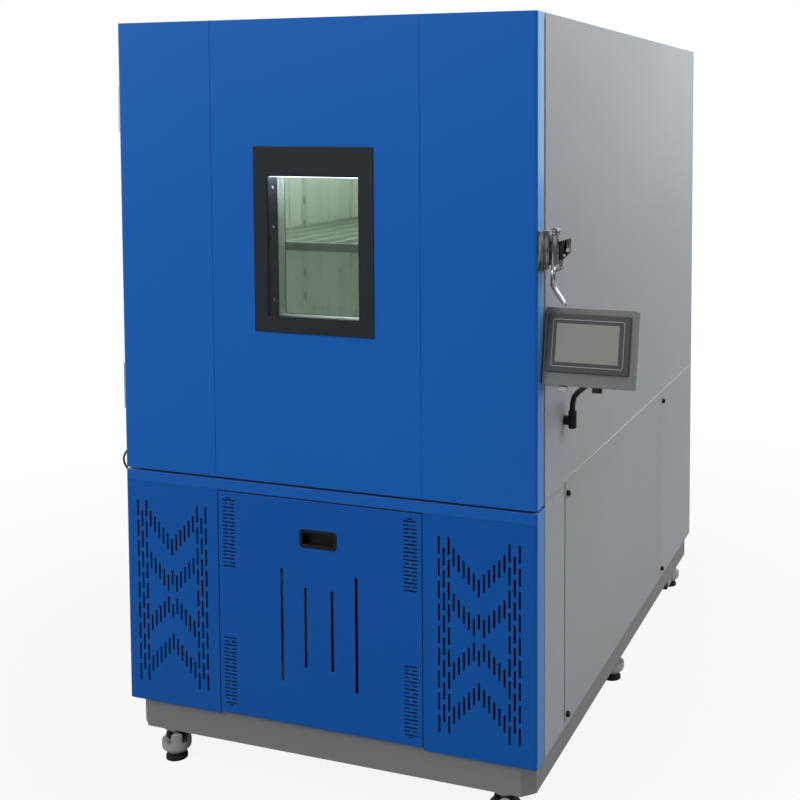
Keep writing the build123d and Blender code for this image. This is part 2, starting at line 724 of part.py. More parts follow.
def make_duct_panel():
    """Stainless panel that closes the air duct, with outlet slots above and return slots below."""
    panel = block(
        -CAVITY_HALF, CAVITY_HALF, DUCT_PANEL_Y, DUCT_PANEL_Y + SHEET, CAVITY_BOTTOM, CAVITY_TOP
    )
    slot_width, slot_height = DUCT_SLOT
    group = DUCT_SLOT_COUNT * DUCT_SLOT_PITCH
    for first in (CAVITY_BOTTOM + DUCT_SLOT_INSET, CAVITY_TOP - DUCT_SLOT_INSET - group):
        for row in range(DUCT_SLOT_COUNT):
            z = first + row * DUCT_SLOT_PITCH
            panel -= block(
                -slot_width / 2, slot_width / 2, DUCT_PANEL_Y - SHEET, DUCT_PANEL_Y + 2 * SHEET,
                z, z + slot_height,
            )
    return panel


def make_evaporator():
    """Finned cooling coil that stands on the liner floor behind the duct panel."""
    y0 = DUCT_PANEL_Y + SHEET + COIL_RIM
    width = CAVITY_WIDTH - 2 * COIL_MARGIN
    low, high = CAVITY_BOTTOM, CAVITY_BOTTOM + COIL_HEIGHT
    coil = block(-width / 2, width / 2, y0, y0 + COIL_DEPTH, low, high)
    pitch = width / COIL_FINS
    gaps = []
    for index in range(COIL_FINS):
        x = -width / 2 + (index + 0.5) * pitch
        gaps.append(
            block(
                x - pitch / 4, x + pitch / 4, y0 - 1, y0 + COIL_FIN_DEPTH,
                low + COIL_RIM, high - COIL_RIM,
            )
        )
    return coil.cut(*gaps)


def make_shelf():
    """Bar shelf that rests on the tracks."""
    half = CAVITY_HALF - SHELF_TRACK - SEAT_GAP
    low = SHELF_HEIGHT
    shelf = block(-half, half, SHELF_FRONT, SHELF_REAR, low, low + SHELF_THICK)
    pitch = (2 * half) / SHELF_BAR_COUNT
    gap = pitch - SHELF_BAR
    for index in range(SHELF_BAR_COUNT):
        x = -half + (index + 0.5) * pitch
        shelf -= block(
            x - gap / 2, x + gap / 2, SHELF_FRONT + SHELF_BAR, SHELF_REAR - SHELF_BAR,
            low - 1, low + SHELF_THICK + 1,
        )
    return shelf


def blade_wheel(radius, width, hub, blades, pitch_angle):
    """Hub with flat blades, about the local Z axis, from Z 0 to the width."""
    wheel = Cylinder(hub, width, align=(Align.CENTER, Align.CENTER, Align.MIN))
    root = hub - BLADE_THICK
    blade = Pos((root + radius) / 2, 0, width / 2) * Rot(pitch_angle, 0, 0)
    blade = blade * Box(radius - root, BLADE_THICK, width * 0.8)
    return joined([wheel] + [Rot(0, 0, 360 * i / blades) * blade for i in range(blades)])


def make_fan_impeller():
    """Circulation fan wheel with its long shaft through the rear insulation."""
    wheel = Plane(origin=(0, FAN_Y, FAN_HEIGHT), z_dir=(0, 1, 0)).location
    wheel = wheel * blade_wheel(FAN_RADIUS, FAN_WIDTH, FAN_HUB, FAN_BLADES, 0.0)
    shaft_length = INSULATION_REAR + 60 - FAN_Y
    return wheel + rod((0, FAN_Y, FAN_HEIGHT), (0, 1, 0), FAN_SHAFT_RADIUS, shaft_length)


def make_fan_motor():
    """Motor on the back of the insulated box, with a mounting plate."""
    half = MOTOR_PLATE / 2
    rear = INSULATION_REAR + MOTOR_PLATE_THICK
    plate = block(-half, half, INSULATION_REAR, rear, FAN_HEIGHT - half, FAN_HEIGHT + half)
    motor = rod((0, rear, FAN_HEIGHT), (0, 1, 0), MOTOR_RADIUS, MOTOR_LENGTH)
    bore = rod(
        (0, INSULATION_REAR - 1, FAN_HEIGHT), (0, 1, 0), FAN_SHAFT_RADIUS + RUNNING_CLEARANCE, 70
    )
    return plate + motor - bore


# Machine bay contents


def make_water_tank():
    """Humidifier water tank with a filler neck, on the tray behind the service panel."""
    width, depth, height = TANK
    low = PLINTH_TOP + POST_WALL
    x0, y0 = TANK_PLACE
    tank = block(x0, x0 + width, y0, y0 + depth, low, low + height)
    tank = fillet(tank.edges().filter_by(Axis.Z), TANK_CORNER)
    neck = (x0 + width / 2, y0 + TANK_NECK_INSET, low + height)
    return tank + rod(neck, (0, 0, 1), TANK_NECK_RADIUS, TANK_NECK_RADIUS)


def make_compressor():
    """Hermetic compressor pot on its foot plate."""
    low = PLINTH_TOP + POST_WALL
    x, y = COMPRESSOR_PLACE
    width, depth, thick = COMPRESSOR_FOOT
    foot = block(x - width / 2, x + width / 2, y - depth / 2, y + depth / 2, low, low + thick)
    pot = rod((x, y, low + thick), (0, 0, 1), COMPRESSOR_RADIUS, COMPRESSOR_HEIGHT)
    rim = pot.edges().filter_by(GeomType.CIRCLE).sort_by(Axis.Z)[-1]
    return foot + chamfer(rim, COMPRESSOR_DOME)


def make_condenser():
    """Condenser block with a ring shroud for its fan."""
    width, depth, height = CONDENSER_SIZE
    low = PLINTH_TOP + POST_WALL
    y1 = CONDENSER_Y + depth
    core = block(-width / 2, width / 2, CONDENSER_Y, y1, low, low + height)
    centre = (0, y1, low + height / 2)
    ring = rod(centre, (0, 1, 0), CONDENSER_FAN_RADIUS + 20, CONDENSER_RING_DEPTH)
    ring -= rod(centre, (0, 1, 0), CONDENSER_FAN_RADIUS + 10, CONDENSER_RING_DEPTH)
    stub_length = CONDENSER_FAN_GAP + CONDENSER_FAN_WIDTH + 2
    stub = rod(centre, (0, 1, 0), CONDENSER_STUB_RADIUS, stub_length)
    return core + ring + stub


def make_condenser_fan():
    """Axial fan that turns on the condenser's stub shaft."""
    width, depth, height = CONDENSER_SIZE
    centre = (
        0, CONDENSER_Y + depth + CONDENSER_FAN_GAP, PLINTH_TOP + POST_WALL + height / 2
    )
    fan = Plane(origin=centre, z_dir=(0, 1, 0)).location * blade_wheel(
        CONDENSER_FAN_RADIUS, CONDENSER_FAN_WIDTH, CONDENSER_FAN_HUB,
        CONDENSER_FAN_BLADES, CONDENSER_BLADE_PITCH,
    )
    bore = CONDENSER_STUB_RADIUS + RUNNING_CLEARANCE
    start = (0, CONDENSER_Y + depth, centre[2])
    return fan - rod(start, (0, 1, 0), bore, CONDENSER_RING_DEPTH)


# Main door


def make_door_skin():
    """Blue outer pan with a rear flange, two face grooves and the window's cut-out."""
    outer = block(-HALF, HALF, 0, DOOR_DEPTH, DOOR_BOTTOM, HEIGHT)
    outer = fillet(outer.edges().filter_by(Axis.Z).group_by(Axis.Y)[0], CORNER_RADIUS)
    inner = block(
        -HALF + SHEET, HALF - SHEET, SHEET, DOOR_DEPTH - 2 * SHEET, DOOR_BOTTOM + SHEET, HEIGHT - SHEET
    )
    inner = fillet(inner.edges().filter_by(Axis.Z).group_by(Axis.Y)[0], CORNER_RADIUS - SHEET)
    skin = outer - inner
    skin -= block(
        -HALF + DOOR_FLANGE, HALF - DOOR_FLANGE, DOOR_DEPTH / 2, DOOR_DEPTH + 1,
        DOOR_BOTTOM + DOOR_FLANGE, HEIGHT - DOOR_FLANGE,
    )
    skin -= block(
        -HALF + SHEET, HALF - SHEET, DOOR_DEPTH - SHEET, DOOR_DEPTH + 1,
        DOOR_BOTTOM + SHEET, HEIGHT - SHEET,
    )
    skin -= window_block(-BORDER_PROUD * 2, SHEET * 2, COLLAR_WALL)
    for x in (FRONT_CENTRE - GROOVE_SPREAD, FRONT_CENTRE + GROOVE_SPREAD):
        skin -= block(
            x - GROOVE_WIDTH / 2, x + GROOVE_WIDTH / 2, -1, GROOVE_DEPTH, DOOR_BOTTOM - 1, HEIGHT + 1
        )
    return skin


def window_block(y0, y1, grow):
    """Block of the window's clear opening, grown all round."""
    return block(
        GLASS_LEFT - grow, GLASS_RIGHT + grow, y0, y1, GLASS_BOTTOM - grow, GLASS_TOP + grow
    )


def make_window_frame():
    """Dark window frame with a collar that passes through the door skin."""
    face = block(WINDOW_LEFT, WINDOW_RIGHT, -BORDER_PROUD, 0, WINDOW_BOTTOM, WINDOW_TOP)
    face = fillet(face.edges().filter_by(Axis.Y), 4.0)
    face = chamfer(face.edges().group_by(Axis.Y)[0], 1.0)
    collar = window_block(0, COLLAR_REAR, COLLAR_WALL - SEAT_GAP)
    frame = face + collar
    frame -= window_block(-5, 0, 0)
    return frame - window_block(0, COLLAR_REAR + 1, SHEET)


def make_window_glass():
    """Outer pane behind the frame and inner pane in the mouth of the window tunnel."""
    outer = window_block(0, PANE, SHEET - SEAT_GAP)
    inner = window_block(PLUG_REAR - PANE, PLUG_REAR, TUNNEL_MARGIN - SEAT_GAP)
    return Compound([outer, inner])


def make_door_liner():
    """Stainless inner pan: flat rim, plug that enters the mouth, and the window tunnel."""
    rim = block(
        -HALF + SHEET + SEAT_GAP, HALF - SHEET - SEAT_GAP, DOOR_DEPTH - SHEET, DOOR_DEPTH,
        DOOR_BOTTOM + SHEET + SEAT_GAP, HEIGHT - SHEET - SEAT_GAP,
    )
    half = CAVITY_HALF - PLUG_CLEARANCE
    low = CAVITY_BOTTOM + PLUG_CLEARANCE
    high = CAVITY_TOP - PLUG_CLEARANCE
    plug = block(-half, half, DOOR_DEPTH - SHEET, PLUG_REAR, low, high)
    hollow = block(
        -half + SHEET, half - SHEET, 0, PLUG_REAR - SHEET, low + SHEET, high - SHEET
    )
    tunnel = window_block(COLLAR_REAR + SEAT_GAP, PLUG_REAR, TUNNEL_MARGIN + SHEET)
    liner = (rim + plug) - hollow
    liner = liner + tunnel
    return liner - window_block(0, PLUG_REAR + 1, TUNNEL_MARGIN)


def make_window_lamp():
    """Tube lamp along the top of the window tunnel, on two end caps."""
    z = GLASS_TOP + TUNNEL_MARGIN - LAMP_RADIUS
    lamp = rod((FRONT_CENTRE - LAMP_LENGTH / 2, LAMP_Y, z), (1, 0, 0), LAMP_RADIUS - 1, LAMP_LENGTH)
    caps = []
    for x in (FRONT_CENTRE - LAMP_LENGTH / 2, FRONT_CENTRE + LAMP_LENGTH / 2 - 14):
        caps.append(rod((x, LAMP_Y, z), (1, 0, 0), LAMP_RADIUS, 14.0))
    return joined([lamp] + caps)


def make_door_gasket():
    """Soft square ring between the door and the front frame."""
    y0, y1 = DOOR_DEPTH, SHELL_FRONT - SEAT_GAP
    inset = GASKET_INSET
    ring = block(-HALF + inset, HALF - inset, y0, y1, DOOR_BOTTOM + inset, HEIGHT - inset)
    inset += GASKET_WIDTH
    return ring - block(-HALF + inset, HALF - inset, 0, DEPTH, DOOR_BOTTOM + inset, HEIGHT - inset)


# Hinges


def make_hinge_leaves():
    """Cabinet leaf of each hinge with its outer knuckles and the pin."""
    x, y = HINGE_AXIS
    leaves = []
    for centre in HINGE_HEIGHTS:
        low, high = centre - HINGE_HEIGHT / 2, centre + HINGE_HEIGHT / 2
        third = HINGE_HEIGHT / 3
        leaf = block(-HALF - HINGE_LEAF, -HALF, y + 14, y + 14 + HINGE_LEAF_LENGTH, low, high)
        pieces = [leaf, rod((x, y, low), (0, 0, 1), HINGE_PIN_RADIUS, HINGE_HEIGHT)]
        knuckle = third - SEAT_GAP
        for z in (low, high - knuckle):
            pieces.append(rod((x, y, z), (0, 0, 1), HINGE_RADIUS, knuckle))
            pieces.append(block(x + 6, -HALF - HINGE_LEAF + 1, y - 4, y + 20, z, z + knuckle))
        leaves.append(joined(pieces))
    return Compound(leaves)


def make_hinge_knuckles():
    """Door leaf of each hinge with the middle knuckle, bored for the pin."""
    x, y = HINGE_AXIS
    third = HINGE_HEIGHT / 3
    leaves = []
    for centre in HINGE_HEIGHTS:
        low, high = centre - third / 2, centre + third / 2
        leaf = block(
            -HALF - HINGE_LEAF, -HALF, DOOR_DEPTH - HINGE_LEAF_LENGTH, DOOR_DEPTH - 6,
            centre - HINGE_HEIGHT / 2, centre + HINGE_HEIGHT / 2,
        )
        knuckle = rod((x, y, low), (0, 0, 1), HINGE_RADIUS, third)
        web = block(x + 6, -HALF - HINGE_LEAF + 1, DOOR_DEPTH - 12, y + 3, low, high)
        piece = joined([leaf, knuckle, web])
        bore = rod((x, y, low - 1), (0, 0, 1), HINGE_PIN_RADIUS + RUNNING_CLEARANCE, third + 2)
        leaves.append(piece - bore)
    return Compound(leaves)


# Latch


def make_latch_base():
    """Black base on the side of the door, with the dark housing below the knuckle."""
    y0, y1 = LATCH_FRONT, LATCH_FRONT + LATCH_DEPTH
    base = block(HALF, HALF + LATCH_BASE, y0, y1, LATCH_BOTTOM, LATCH_TOP)
    base = fillet(base.edges().group_by(Axis.X)[-1], 3.0)
    x0 = HALF + LATCH_BASE - 4
    x1 = HALF + LATCH_BASE + LATCH_BODY
    return base + block(x0, x1, y0 + 6, y1 - 6, LATCH_BOTTOM + 14, KNUCKLE_BOTTOM)


def latch_ears():
    """Y at which each of the two ears starts, either side of the lever's hub."""
    inner = LEVER_WIDTH / 2 + SEAT_GAP
    return (LATCH_PIVOT_Y - inner - LATCH_EAR, LATCH_PIVOT_Y + inner)


def make_latch_body():
    """Chrome knuckle block on the base, with the two round-ended ears of the pivot."""
    x0 = HALF + LATCH_BASE
    x1 = x0 + LATCH_BODY
    y0, y1 = LATCH_FRONT + 4, LATCH_FRONT + LATCH_DEPTH - 4
    knuckle = block(x0, x1, y0, y1, KNUCKLE_BOTTOM, LATCH_TOP + 2)
    pieces = [fillet(knuckle.edges().group_by(Axis.X)[-1], 2.0)]
    for y in latch_ears():
        z = LATCH_PIVOT_HEIGHT
        arm = block(x1 - 3, LATCH_PIVOT_X, y, y + LATCH_EAR, z - LATCH_EAR_RADIUS, z)
        tip = rod((LATCH_PIVOT_X, y, z), (0, 1, 0), LATCH_EAR_RADIUS, LATCH_EAR)
        pieces += [arm, tip]
    bore = LATCH_PIN_RADIUS + RUNNING_CLEARANCE
    pivot = rod((LATCH_PIVOT_X, LATCH_FRONT, LATCH_PIVOT_HEIGHT), (0, 1, 0), bore, LATCH_DEPTH)
    hub_room = block(
        LATCH_PIVOT_X - LATCH_EAR_RADIUS - 1, LATCH_PIVOT_X, LATCH_PIVOT_Y - LEVER_WIDTH / 2 - SEAT_GAP,
        LATCH_PIVOT_Y + LEVER_WIDTH / 2 + SEAT_GAP, KNUCKLE_BOTTOM - 1, LATCH_TOP + 12,
    )
    return joined(pieces) - pivot - hub_room


def make_latch_lever():
    """Chrome lever: hub, broad cheek, outward-bent grip and the toe behind the strike."""
    y0 = LATCH_PIVOT_Y - LEVER_WIDTH / 2
    y1 = y0 + LEVER_WIDTH
    z = LATCH_PIVOT_HEIGHT
    corners = [(HALF + out, z - drop) for out, drop in LEVER_PATH]
    grip_path = FilletPolyline(*corners, radius=9.0)
    outline = trace(grip_path, line_width=LEVER_THICK)
    grip = Pos(0, y1, 0) * Plane.XZ.location * extrude(outline, LEVER_WIDTH)
    hub = rod((LATCH_PIVOT_X, y0, z), (0, 1, 0), LATCH_EAR_RADIUS - 1, LEVER_WIDTH)
    cheek = block(
        LATCH_PIVOT_X - 6, LATCH_PIVOT_X + 6, y0, y1, LATCH_BOTTOM + 16, z
    )
    pin_length = LEVER_WIDTH + 2 * LATCH_EAR + 2 * SEAT_GAP
    pin = rod(
        (LATCH_PIVOT_X, LATCH_PIVOT_Y - pin_length / 2, z), (0, 1, 0), LATCH_PIN_RADIUS, pin_length
    )
    toe_back = STRIKE_Y + STRIKE_THICK + SEAT_GAP + TOE_THICK
    neck_top = LATCH_PIVOT_HEIGHT - STRIKE_REACH - TOE_GAP
    neck = block(LATCH_PIVOT_X - 5, LATCH_PIVOT_X + 3, y0, toe_back, neck_top - TOE_THICK, neck_top)
    toe = block(
        LATCH_PIVOT_X - 5, LATCH_PIVOT_X + 3, toe_back - TOE_THICK, toe_back,
        neck_top - TOE_THICK, neck_top + TOE_HEIGHT,
    )
    return joined([grip, hub, cheek, pin, neck, toe])


def make_latch_strike():
    """Chrome strike on the cabinet side: flat foot and a leaning wing with three holes."""
    bottom = LATCH_PIVOT_HEIGHT - STRIKE_REACH + 2
    foot = block(HALF, HALF + 4, STRIKE_Y, STRIKE_Y + 45, bottom, LATCH_TOP - 18)
    corners = [
        (HALF, bottom), (HALF + 29, bottom + 2), (HALF + 60, bottom + 32),
        (HALF + 61, bottom + 66), (HALF + 42, bottom + 60), (HALF, bottom + 50),
    ]
    outline = make_face(Polyline(*corners, close=True))
    wing = Pos(0, STRIKE_Y + STRIKE_THICK, 0) * Plane.XZ.location * extrude(outline, STRIKE_THICK)
    for out, rise, radius in STRIKE_HOLES:
        centre = (HALF + out, STRIKE_Y - 1, bottom + rise)
        wing -= rod(centre, (0, 1, 0), radius, STRIKE_THICK + 2)
    return foot + wing


# Touch controller


def on_box(x0, x1, y0, y1, z0, z1):
    """Block in the controller box's own frame: right, up the face, out of the face."""
    return BOX_PLANE.location * block(x0, x1, y0, y1, z0, z1)


def make_hmi_box():
    """Sheet box of the controller with the cut-out for it."""
    width, height, depth = BOX_SIZE
    box = block(0, width, 0, height, -depth, 0)
    box = fillet(box.edges().filter_by(Axis.Z), 2.0)
    box -= block(
        BOX_WALL, width - BOX_WALL, BOX_WALL, height - BOX_WALL, -depth + BOX_WALL, -BOX_WALL
    )
    x, y = BEZEL_PLACE
    box -= block(
        x + BEZEL_BODY, x + BEZEL_SIZE[0] - BEZEL_BODY, y + BEZEL_BODY,
        y + BEZEL_SIZE[1] - BEZEL_BODY, -5, 1,
    )
    return BOX_PLANE.location * box


def make_hmi_bezel():
    """Controller housing: front bezel with a screen recess, and the body behind it."""
    x, y = BEZEL_PLACE
    width, height = BEZEL_SIZE
    bezel = block(x, x + width, y, y + height, 0, BEZEL_THICK)
    bezel = fillet(bezel.edges().filter_by(Axis.Z), 4.0)
    bezel = chamfer(bezel.edges().group_by(Axis.Z)[-1], 1.5)
    inset = BEZEL_BODY + SEAT_GAP
    body = block(x + inset, x + width - inset, y + inset, y + height - inset, -24, 0)
    sx, sy = SCREEN_PLACE
    recess = block(
        sx, sx + SCREEN_SIZE[0], sy, sy + SCREEN_SIZE[1], BEZEL_THICK - SCREEN_RECESS, BEZEL_THICK + 1
    )
    return BOX_PLANE.location * (bezel + body - recess)


def make_hmi_screen():
    """Touch screen in the bezel's recess."""
    sx, sy = SCREEN_PLACE
    gap = SEAT_GAP / 2
    low = BEZEL_THICK - SCREEN_RECESS
    return on_box(
        sx + gap, sx + SCREEN_SIZE[0] - gap, sy + gap, sy + SCREEN_SIZE[1] - gap, low, low + 1.0
    )


def make_hmi_bracket():
    """Bright steel angle between the cabinet side and the back of the controller box."""
    depth = BOX_SIZE[2]
    arm = on_box(
        -BOX_LEFT_GAP, 0, 0, ARM_WIDTH, -depth - ARM_LENGTH, -depth
    )
    leaf = on_box(-BOX_LEFT_GAP, 75, 0, ARM_WIDTH, -depth - 4, -depth)
    return arm + leaf


def elbow_centre():
    """Middle of the elbow's vertical barrel, at the height of its gland."""
    out, y, z = ELBOW_PLACE
    return HALF + out, y, z


def conduit_start():
    """Point where the conduit leaves the back of the controller box, and its direction."""
    place = BOX_PLANE.location * Pos(95.0, 12.0, -BOX_SIZE[2])
    back = Vector(0, cos(radians(BOX_TILT)), -sin(radians(BOX_TILT)))
    return place.position, back


def make_cable_glands():
    """Black plastic glands: controller outlet, side elbow, blind cap and the loop's two ends."""
    start, back = conduit_start()
    x, y, z = elbow_centre()
    outlet = rod(start, back, CONDUIT_RADIUS + 3, OUTLET_GLAND)
    nut = rod((HALF, y, z), (1, 0, 0), 12.0, x - HALF)
    barrel = rod((x, y, z - 20), (0, 0, 1), ELBOW_RADIUS, ELBOW_HEIGHT)
    barrel = fillet(barrel.edges().filter_by(GeomType.CIRCLE).sort_by(Axis.Z)[0], 5.0)
    cap_plane = BOX_PLANE.location * Pos(130.0, 0.0, -18.0)
    cap = rod(cap_plane.position, (0, -sin(radians(BOX_TILT)), -cos(radians(BOX_TILT))), 12.0, 12.0)
    ends = []
    route = loop_route()
    for point in (route[0], route[-1]):
        base = (-HALF, point[1], point[2])
        ends.append(rod(base, (-1, 0, 0), CABLE_GLAND_RADIUS, CABLE_GLAND))
    return Compound([outlet, nut + barrel, cap] + ends)


def make_hmi_conduit():
    """Flexible conduit from the controller box down to the elbow."""
    start, back = conduit_start()
    x, y, z = elbow_centre()
    top = z - 20 + ELBOW_HEIGHT
    points = [
        tuple(start + back * OUTLET_GLAND), tuple(start + back * 2.5 * OUTLET_GLAND),
        (HALF + 78, 133, 1089), (HALF + 51, 177, 1069), (HALF + 27, 209, 1045),
        (x, y, top + 15), (x, y, top),
    ]
    return cable(points, CONDUIT_RADIUS, "hmi_conduit")


def loop_route():
    """Corners of the cable loop, from the upper gland round to the lower one."""
    upper = [(-HALF - out, CABLE_LOOP_Y, rise) for out, rise in CABLE_LOOP]
    lower = [(x, y, -rise) for x, y, rise in reversed(upper)]
    tip = [(-HALF - CABLE_LOOP_REACH, CABLE_LOOP_Y, 0)]
    return [(x, y, CABLE_LOOP_HEIGHT + rise) for x, y, rise in upper + tip + lower]


def make_door_cable():
    """Cable loop at the hinge side, between its two glands."""
    return cable(loop_route(), CABLE_RADIUS, "door_cable")


# Casters


def make_caster_housing():
    """Die-cast housing with side windows and two wheel cheeks; swivel axis at X 0, Y 0."""
    top = PLINTH_BOTTOM - CASTER_PLATE_THICK - SEAT_GAP
    profile = [
        (0, DRUM_BOTTOM), (DRUM_RADIUS - 12, DRUM_BOTTOM), (DRUM_RADIUS - 2, DRUM_BOTTOM + 10),
        (DRUM_RADIUS, DRUM_BOTTOM + 16), (DRUM_RADIUS, top - 26), (DRUM_RADIUS - 5, top - 14),
        (DRUM_RADIUS - 7, top), (0, top),
    ]
    drum = revolve(make_face(Plane.XZ * Polyline(*profile, close=True)), Axis.Z)
    window = block(
        -DRUM_RADIUS, DRUM_RADIUS, -DRUM_RADIUS + 3, DRUM_RADIUS - 10, DRUM_BOTTOM + 32, top - 14
    )
    core = rod((0, 0, DRUM_BOTTOM), (0, 0, 1), KINGPIN_RADIUS + 6, top - DRUM_BOTTOM)
    housing = drum - window + core
    inner = WHEEL_WIDTH / 2 + SEAT_GAP
    axle_z = WHEEL_LIFT + WHEEL_RADIUS
    for x0 in (-inner - CHEEK, inner):
        cheek = block(x0, x0 + CHEEK, DRUM_RADIUS - 14, WHEEL_OFFSET, axle_z - 10, axle_z + 34)
        nose = rod((x0, WHEEL_OFFSET, axle_z), (1, 0, 0), 10.0, CHEEK)
        cheek -= block(
            x0 - 1, x0 + CHEEK + 1, WHEEL_OFFSET - 12, WHEEL_OFFSET + 1, axle_z + 10, axle_z + 40
        )
        housing += cheek + nose
    bridge = block(
        -inner - CHEEK, inner + CHEEK, DRUM_RADIUS - 14, DRUM_RADIUS - 4, axle_z - 4, axle_z + 34
    )
    axle_length = 2 * (inner + CHEEK)
    housing += bridge + rod((-axle_length / 2, WHEEL_OFFSET, axle_z), (1, 0, 0), AXLE_RADIUS, axle_length)
    pin_depth = KINGPIN_LENGTH + SEAT_GAP
    bore = KINGPIN_RADIUS + RUNNING_CLEARANCE
    housing -= rod((0, 0, top - pin_depth), (0, 0, 1), bore, pin_depth + 1)
    screw_bore = PAD_SCREW_RADIUS + RUNNING_CLEARANCE
    return housing - rod((0, 0, 0), (0, 0, 1), screw_bore, PAD_SCREW_TOP + PAD_TRAVEL + 1)


def make_caster_wheel():
    """Wheel with bevelled rims and a bore for the axle, in place behind the drum."""
    axle_z = WHEEL_LIFT + WHEEL_RADIUS
    wheel = rod((-WHEEL_WIDTH / 2, WHEEL_OFFSET, axle_z), (1, 0, 0), WHEEL_RADIUS, WHEEL_WIDTH)
    wheel = chamfer(wheel.edges().filter_by(GeomType.CIRCLE), WHEEL_BEVEL)
    bore = AXLE_RADIUS + RUNNING_CLEARANCE
    return wheel - rod((-WHEEL_WIDTH, WHEEL_OFFSET, axle_z), (1, 0, 0), bore, 2 * WHEEL_WIDTH)


def make_caster_pad():
    """Rubber-faced levelling pad on its screw."""
    profile = [
        (0, 0), (PAD_RADIUS, 0), (PAD_RADIUS, PAD_THICK - 3),
        (PAD_RADIUS - 6, PAD_THICK), (PAD_SCREW_RADIUS, PAD_THICK),
        (PAD_SCREW_RADIUS, PAD_SCREW_TOP), (0, PAD_SCREW_TOP),
    ]
    return revolve(make_face(Plane.XZ * Polyline(*profile, close=True)), Axis.Z)


def build_parts():
    """All pieces by node name, in the building frame."""
    parts = {
        "plinth": make_plinth(),
        "machine_frame": make_machine_frame(),
        "side_sheets": make_side_sheets(),
        "roof_sheet": make_roof(),
        "rear_panel": make_rear_panel(),
        "access_covers": make_access_covers(),
        "cover_plugs": make_cover_plugs(),
        "vent_panels": make_vent_panels(),
        "front_rail": make_front_rail(),
        "front_frame": make_front_frame(),
        "liner": make_liner(),
        "insulation": make_insulation(),
        "duct_panel": make_duct_panel(),
        "evaporator": make_evaporator(),
        "shelf": make_shelf(),
        "fan_motor": make_fan_motor(),
        "fan_impeller": make_fan_impeller(),
        "water_tank": make_water_tank(),
        "compressor": make_compressor(),
        "condenser": make_condenser(),
        "condenser_fan": make_condenser_fan(),
        "hinge_leaves": make_hinge_leaves(),
        "latch_strike": make_latch_strike(),
        "hmi_box": make_hmi_box(),
        "hmi_bezel": make_hmi_bezel(),
        "hmi_screen": make_hmi_screen(),
        "hmi_bracket": make_hmi_bracket(),
        "hmi_conduit": make_hmi_conduit(),
        "cable_glands": make_cable_glands(),
        "door_cable": make_door_cable(),
        "door_skin": make_door_skin(),
        "door_liner": make_door_liner(),
        "door_gasket": make_door_gasket(),
        "window_frame": make_window_frame(),
        "window_glass": make_window_glass(),
        "window_lamp": make_window_lamp(),
        "hinge_knuckles": make_hinge_knuckles(),
        "latch_base": make_latch_base(),
        "latch_body": make_latch_body(),
        "latch_lever": make_latch_lever(),
        "service_panel": make_service_panel(),
        "service_pull": make_service_pull(),
    }
    housing, wheel, pad = make_caster_housing(), make_caster_wheel(), make_caster_pad()
    for number, (x, y) in enumerate(caster_places(), start=1):
        place = Pos(x, y, 0)
        turned = place * Rot(0, 0, CASTER_TURNS[number - 1])
        parts[f"caster_{number}_housing"] = turned * housing
        parts[f"caster_{number}_wheel"] = turned * wheel
        parts[f"caster_{number}_pad"] = place * pad
    return parts


def main():
    """Build every piece, centre the footprint on the origin and write the STEP files."""
    os.makedirs("parts", exist_ok=True)
    parts = build_parts()
    boxes = [shape.bounding_box() for shape in parts.values()]
    middle_x = (min(b.min.X for b in boxes) + max(b.max.X for b in boxes)) / 2
    middle_y = (min(b.min.Y for b in boxes) + max(b.max.Y for b in boxes)) / 2
    print("origin in the building frame", round(middle_x, 4), round(middle_y, 4))
    for name, shape in parts.items():
        export_step(Pos(-middle_x, -middle_y, 0) * shape, f"parts/{name}.step")


if __name__ == "__main__":
    main()
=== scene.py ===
"""Looks of a floor-standing temperature and humidity test chamber.

Every piece is placed in the building frame of the cabinet, in millimetres: X runs to the right
from the middle of the cabinet, Y to the back from the face of the main door, and Z up from the
floor. `at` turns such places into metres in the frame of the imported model.
"""
from __future__ import annotations

import logging
from dataclasses import dataclass, replace
from enum import Enum

import bpy
import numpy as np
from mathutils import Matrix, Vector


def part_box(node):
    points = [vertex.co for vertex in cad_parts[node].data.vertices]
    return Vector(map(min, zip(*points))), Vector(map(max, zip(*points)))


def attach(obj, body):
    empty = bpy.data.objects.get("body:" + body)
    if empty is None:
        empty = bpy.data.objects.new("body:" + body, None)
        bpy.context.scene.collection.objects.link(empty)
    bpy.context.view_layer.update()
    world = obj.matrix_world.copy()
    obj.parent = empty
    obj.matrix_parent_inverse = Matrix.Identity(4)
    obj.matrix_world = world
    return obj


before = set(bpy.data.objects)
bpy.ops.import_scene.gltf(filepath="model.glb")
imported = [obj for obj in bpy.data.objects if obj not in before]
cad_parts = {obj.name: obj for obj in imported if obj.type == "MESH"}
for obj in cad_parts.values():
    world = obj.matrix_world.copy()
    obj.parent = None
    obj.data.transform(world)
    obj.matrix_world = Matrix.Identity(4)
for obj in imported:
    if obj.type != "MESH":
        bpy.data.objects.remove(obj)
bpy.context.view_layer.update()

Tree = bpy.types.NodeTree
Node = bpy.types.Node
Socket = bpy.types.NodeSocket

log = logging.getLogger("test_chamber")
MILLIMETRE = 0.001

DOOR_LOW, DOOR_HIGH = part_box("door_skin")
ORIGIN = np.array([(DOOR_LOW.x + DOOR_HIGH.x) / 2, DOOR_LOW.y, 0.0])
FORWARD = np.array([0.0, -1.0, 0.0])
CASTERS = 6


def at(places: np.ndarray | tuple) -> np.ndarray:
    """Places in the building frame, in millimetres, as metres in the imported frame."""
    return np.asarray(places, float) * MILLIMETRE + ORIGIN


def linear(red: int, green: int, blue: int) -> tuple[float, float, float]:
    """A paint chart colour of 0 to 255 as the linear colour that a shader takes."""
    part = np.array([red, green, blue]) / 255
    low, high = part / 12.92, ((part + 0.055) / 1.055) ** 2.4
    return tuple(float(v) for v in np.where(part <= 0.04045, low, high))


# Shared effects, with noise scales per metre and the paint's colours from 0 to 255

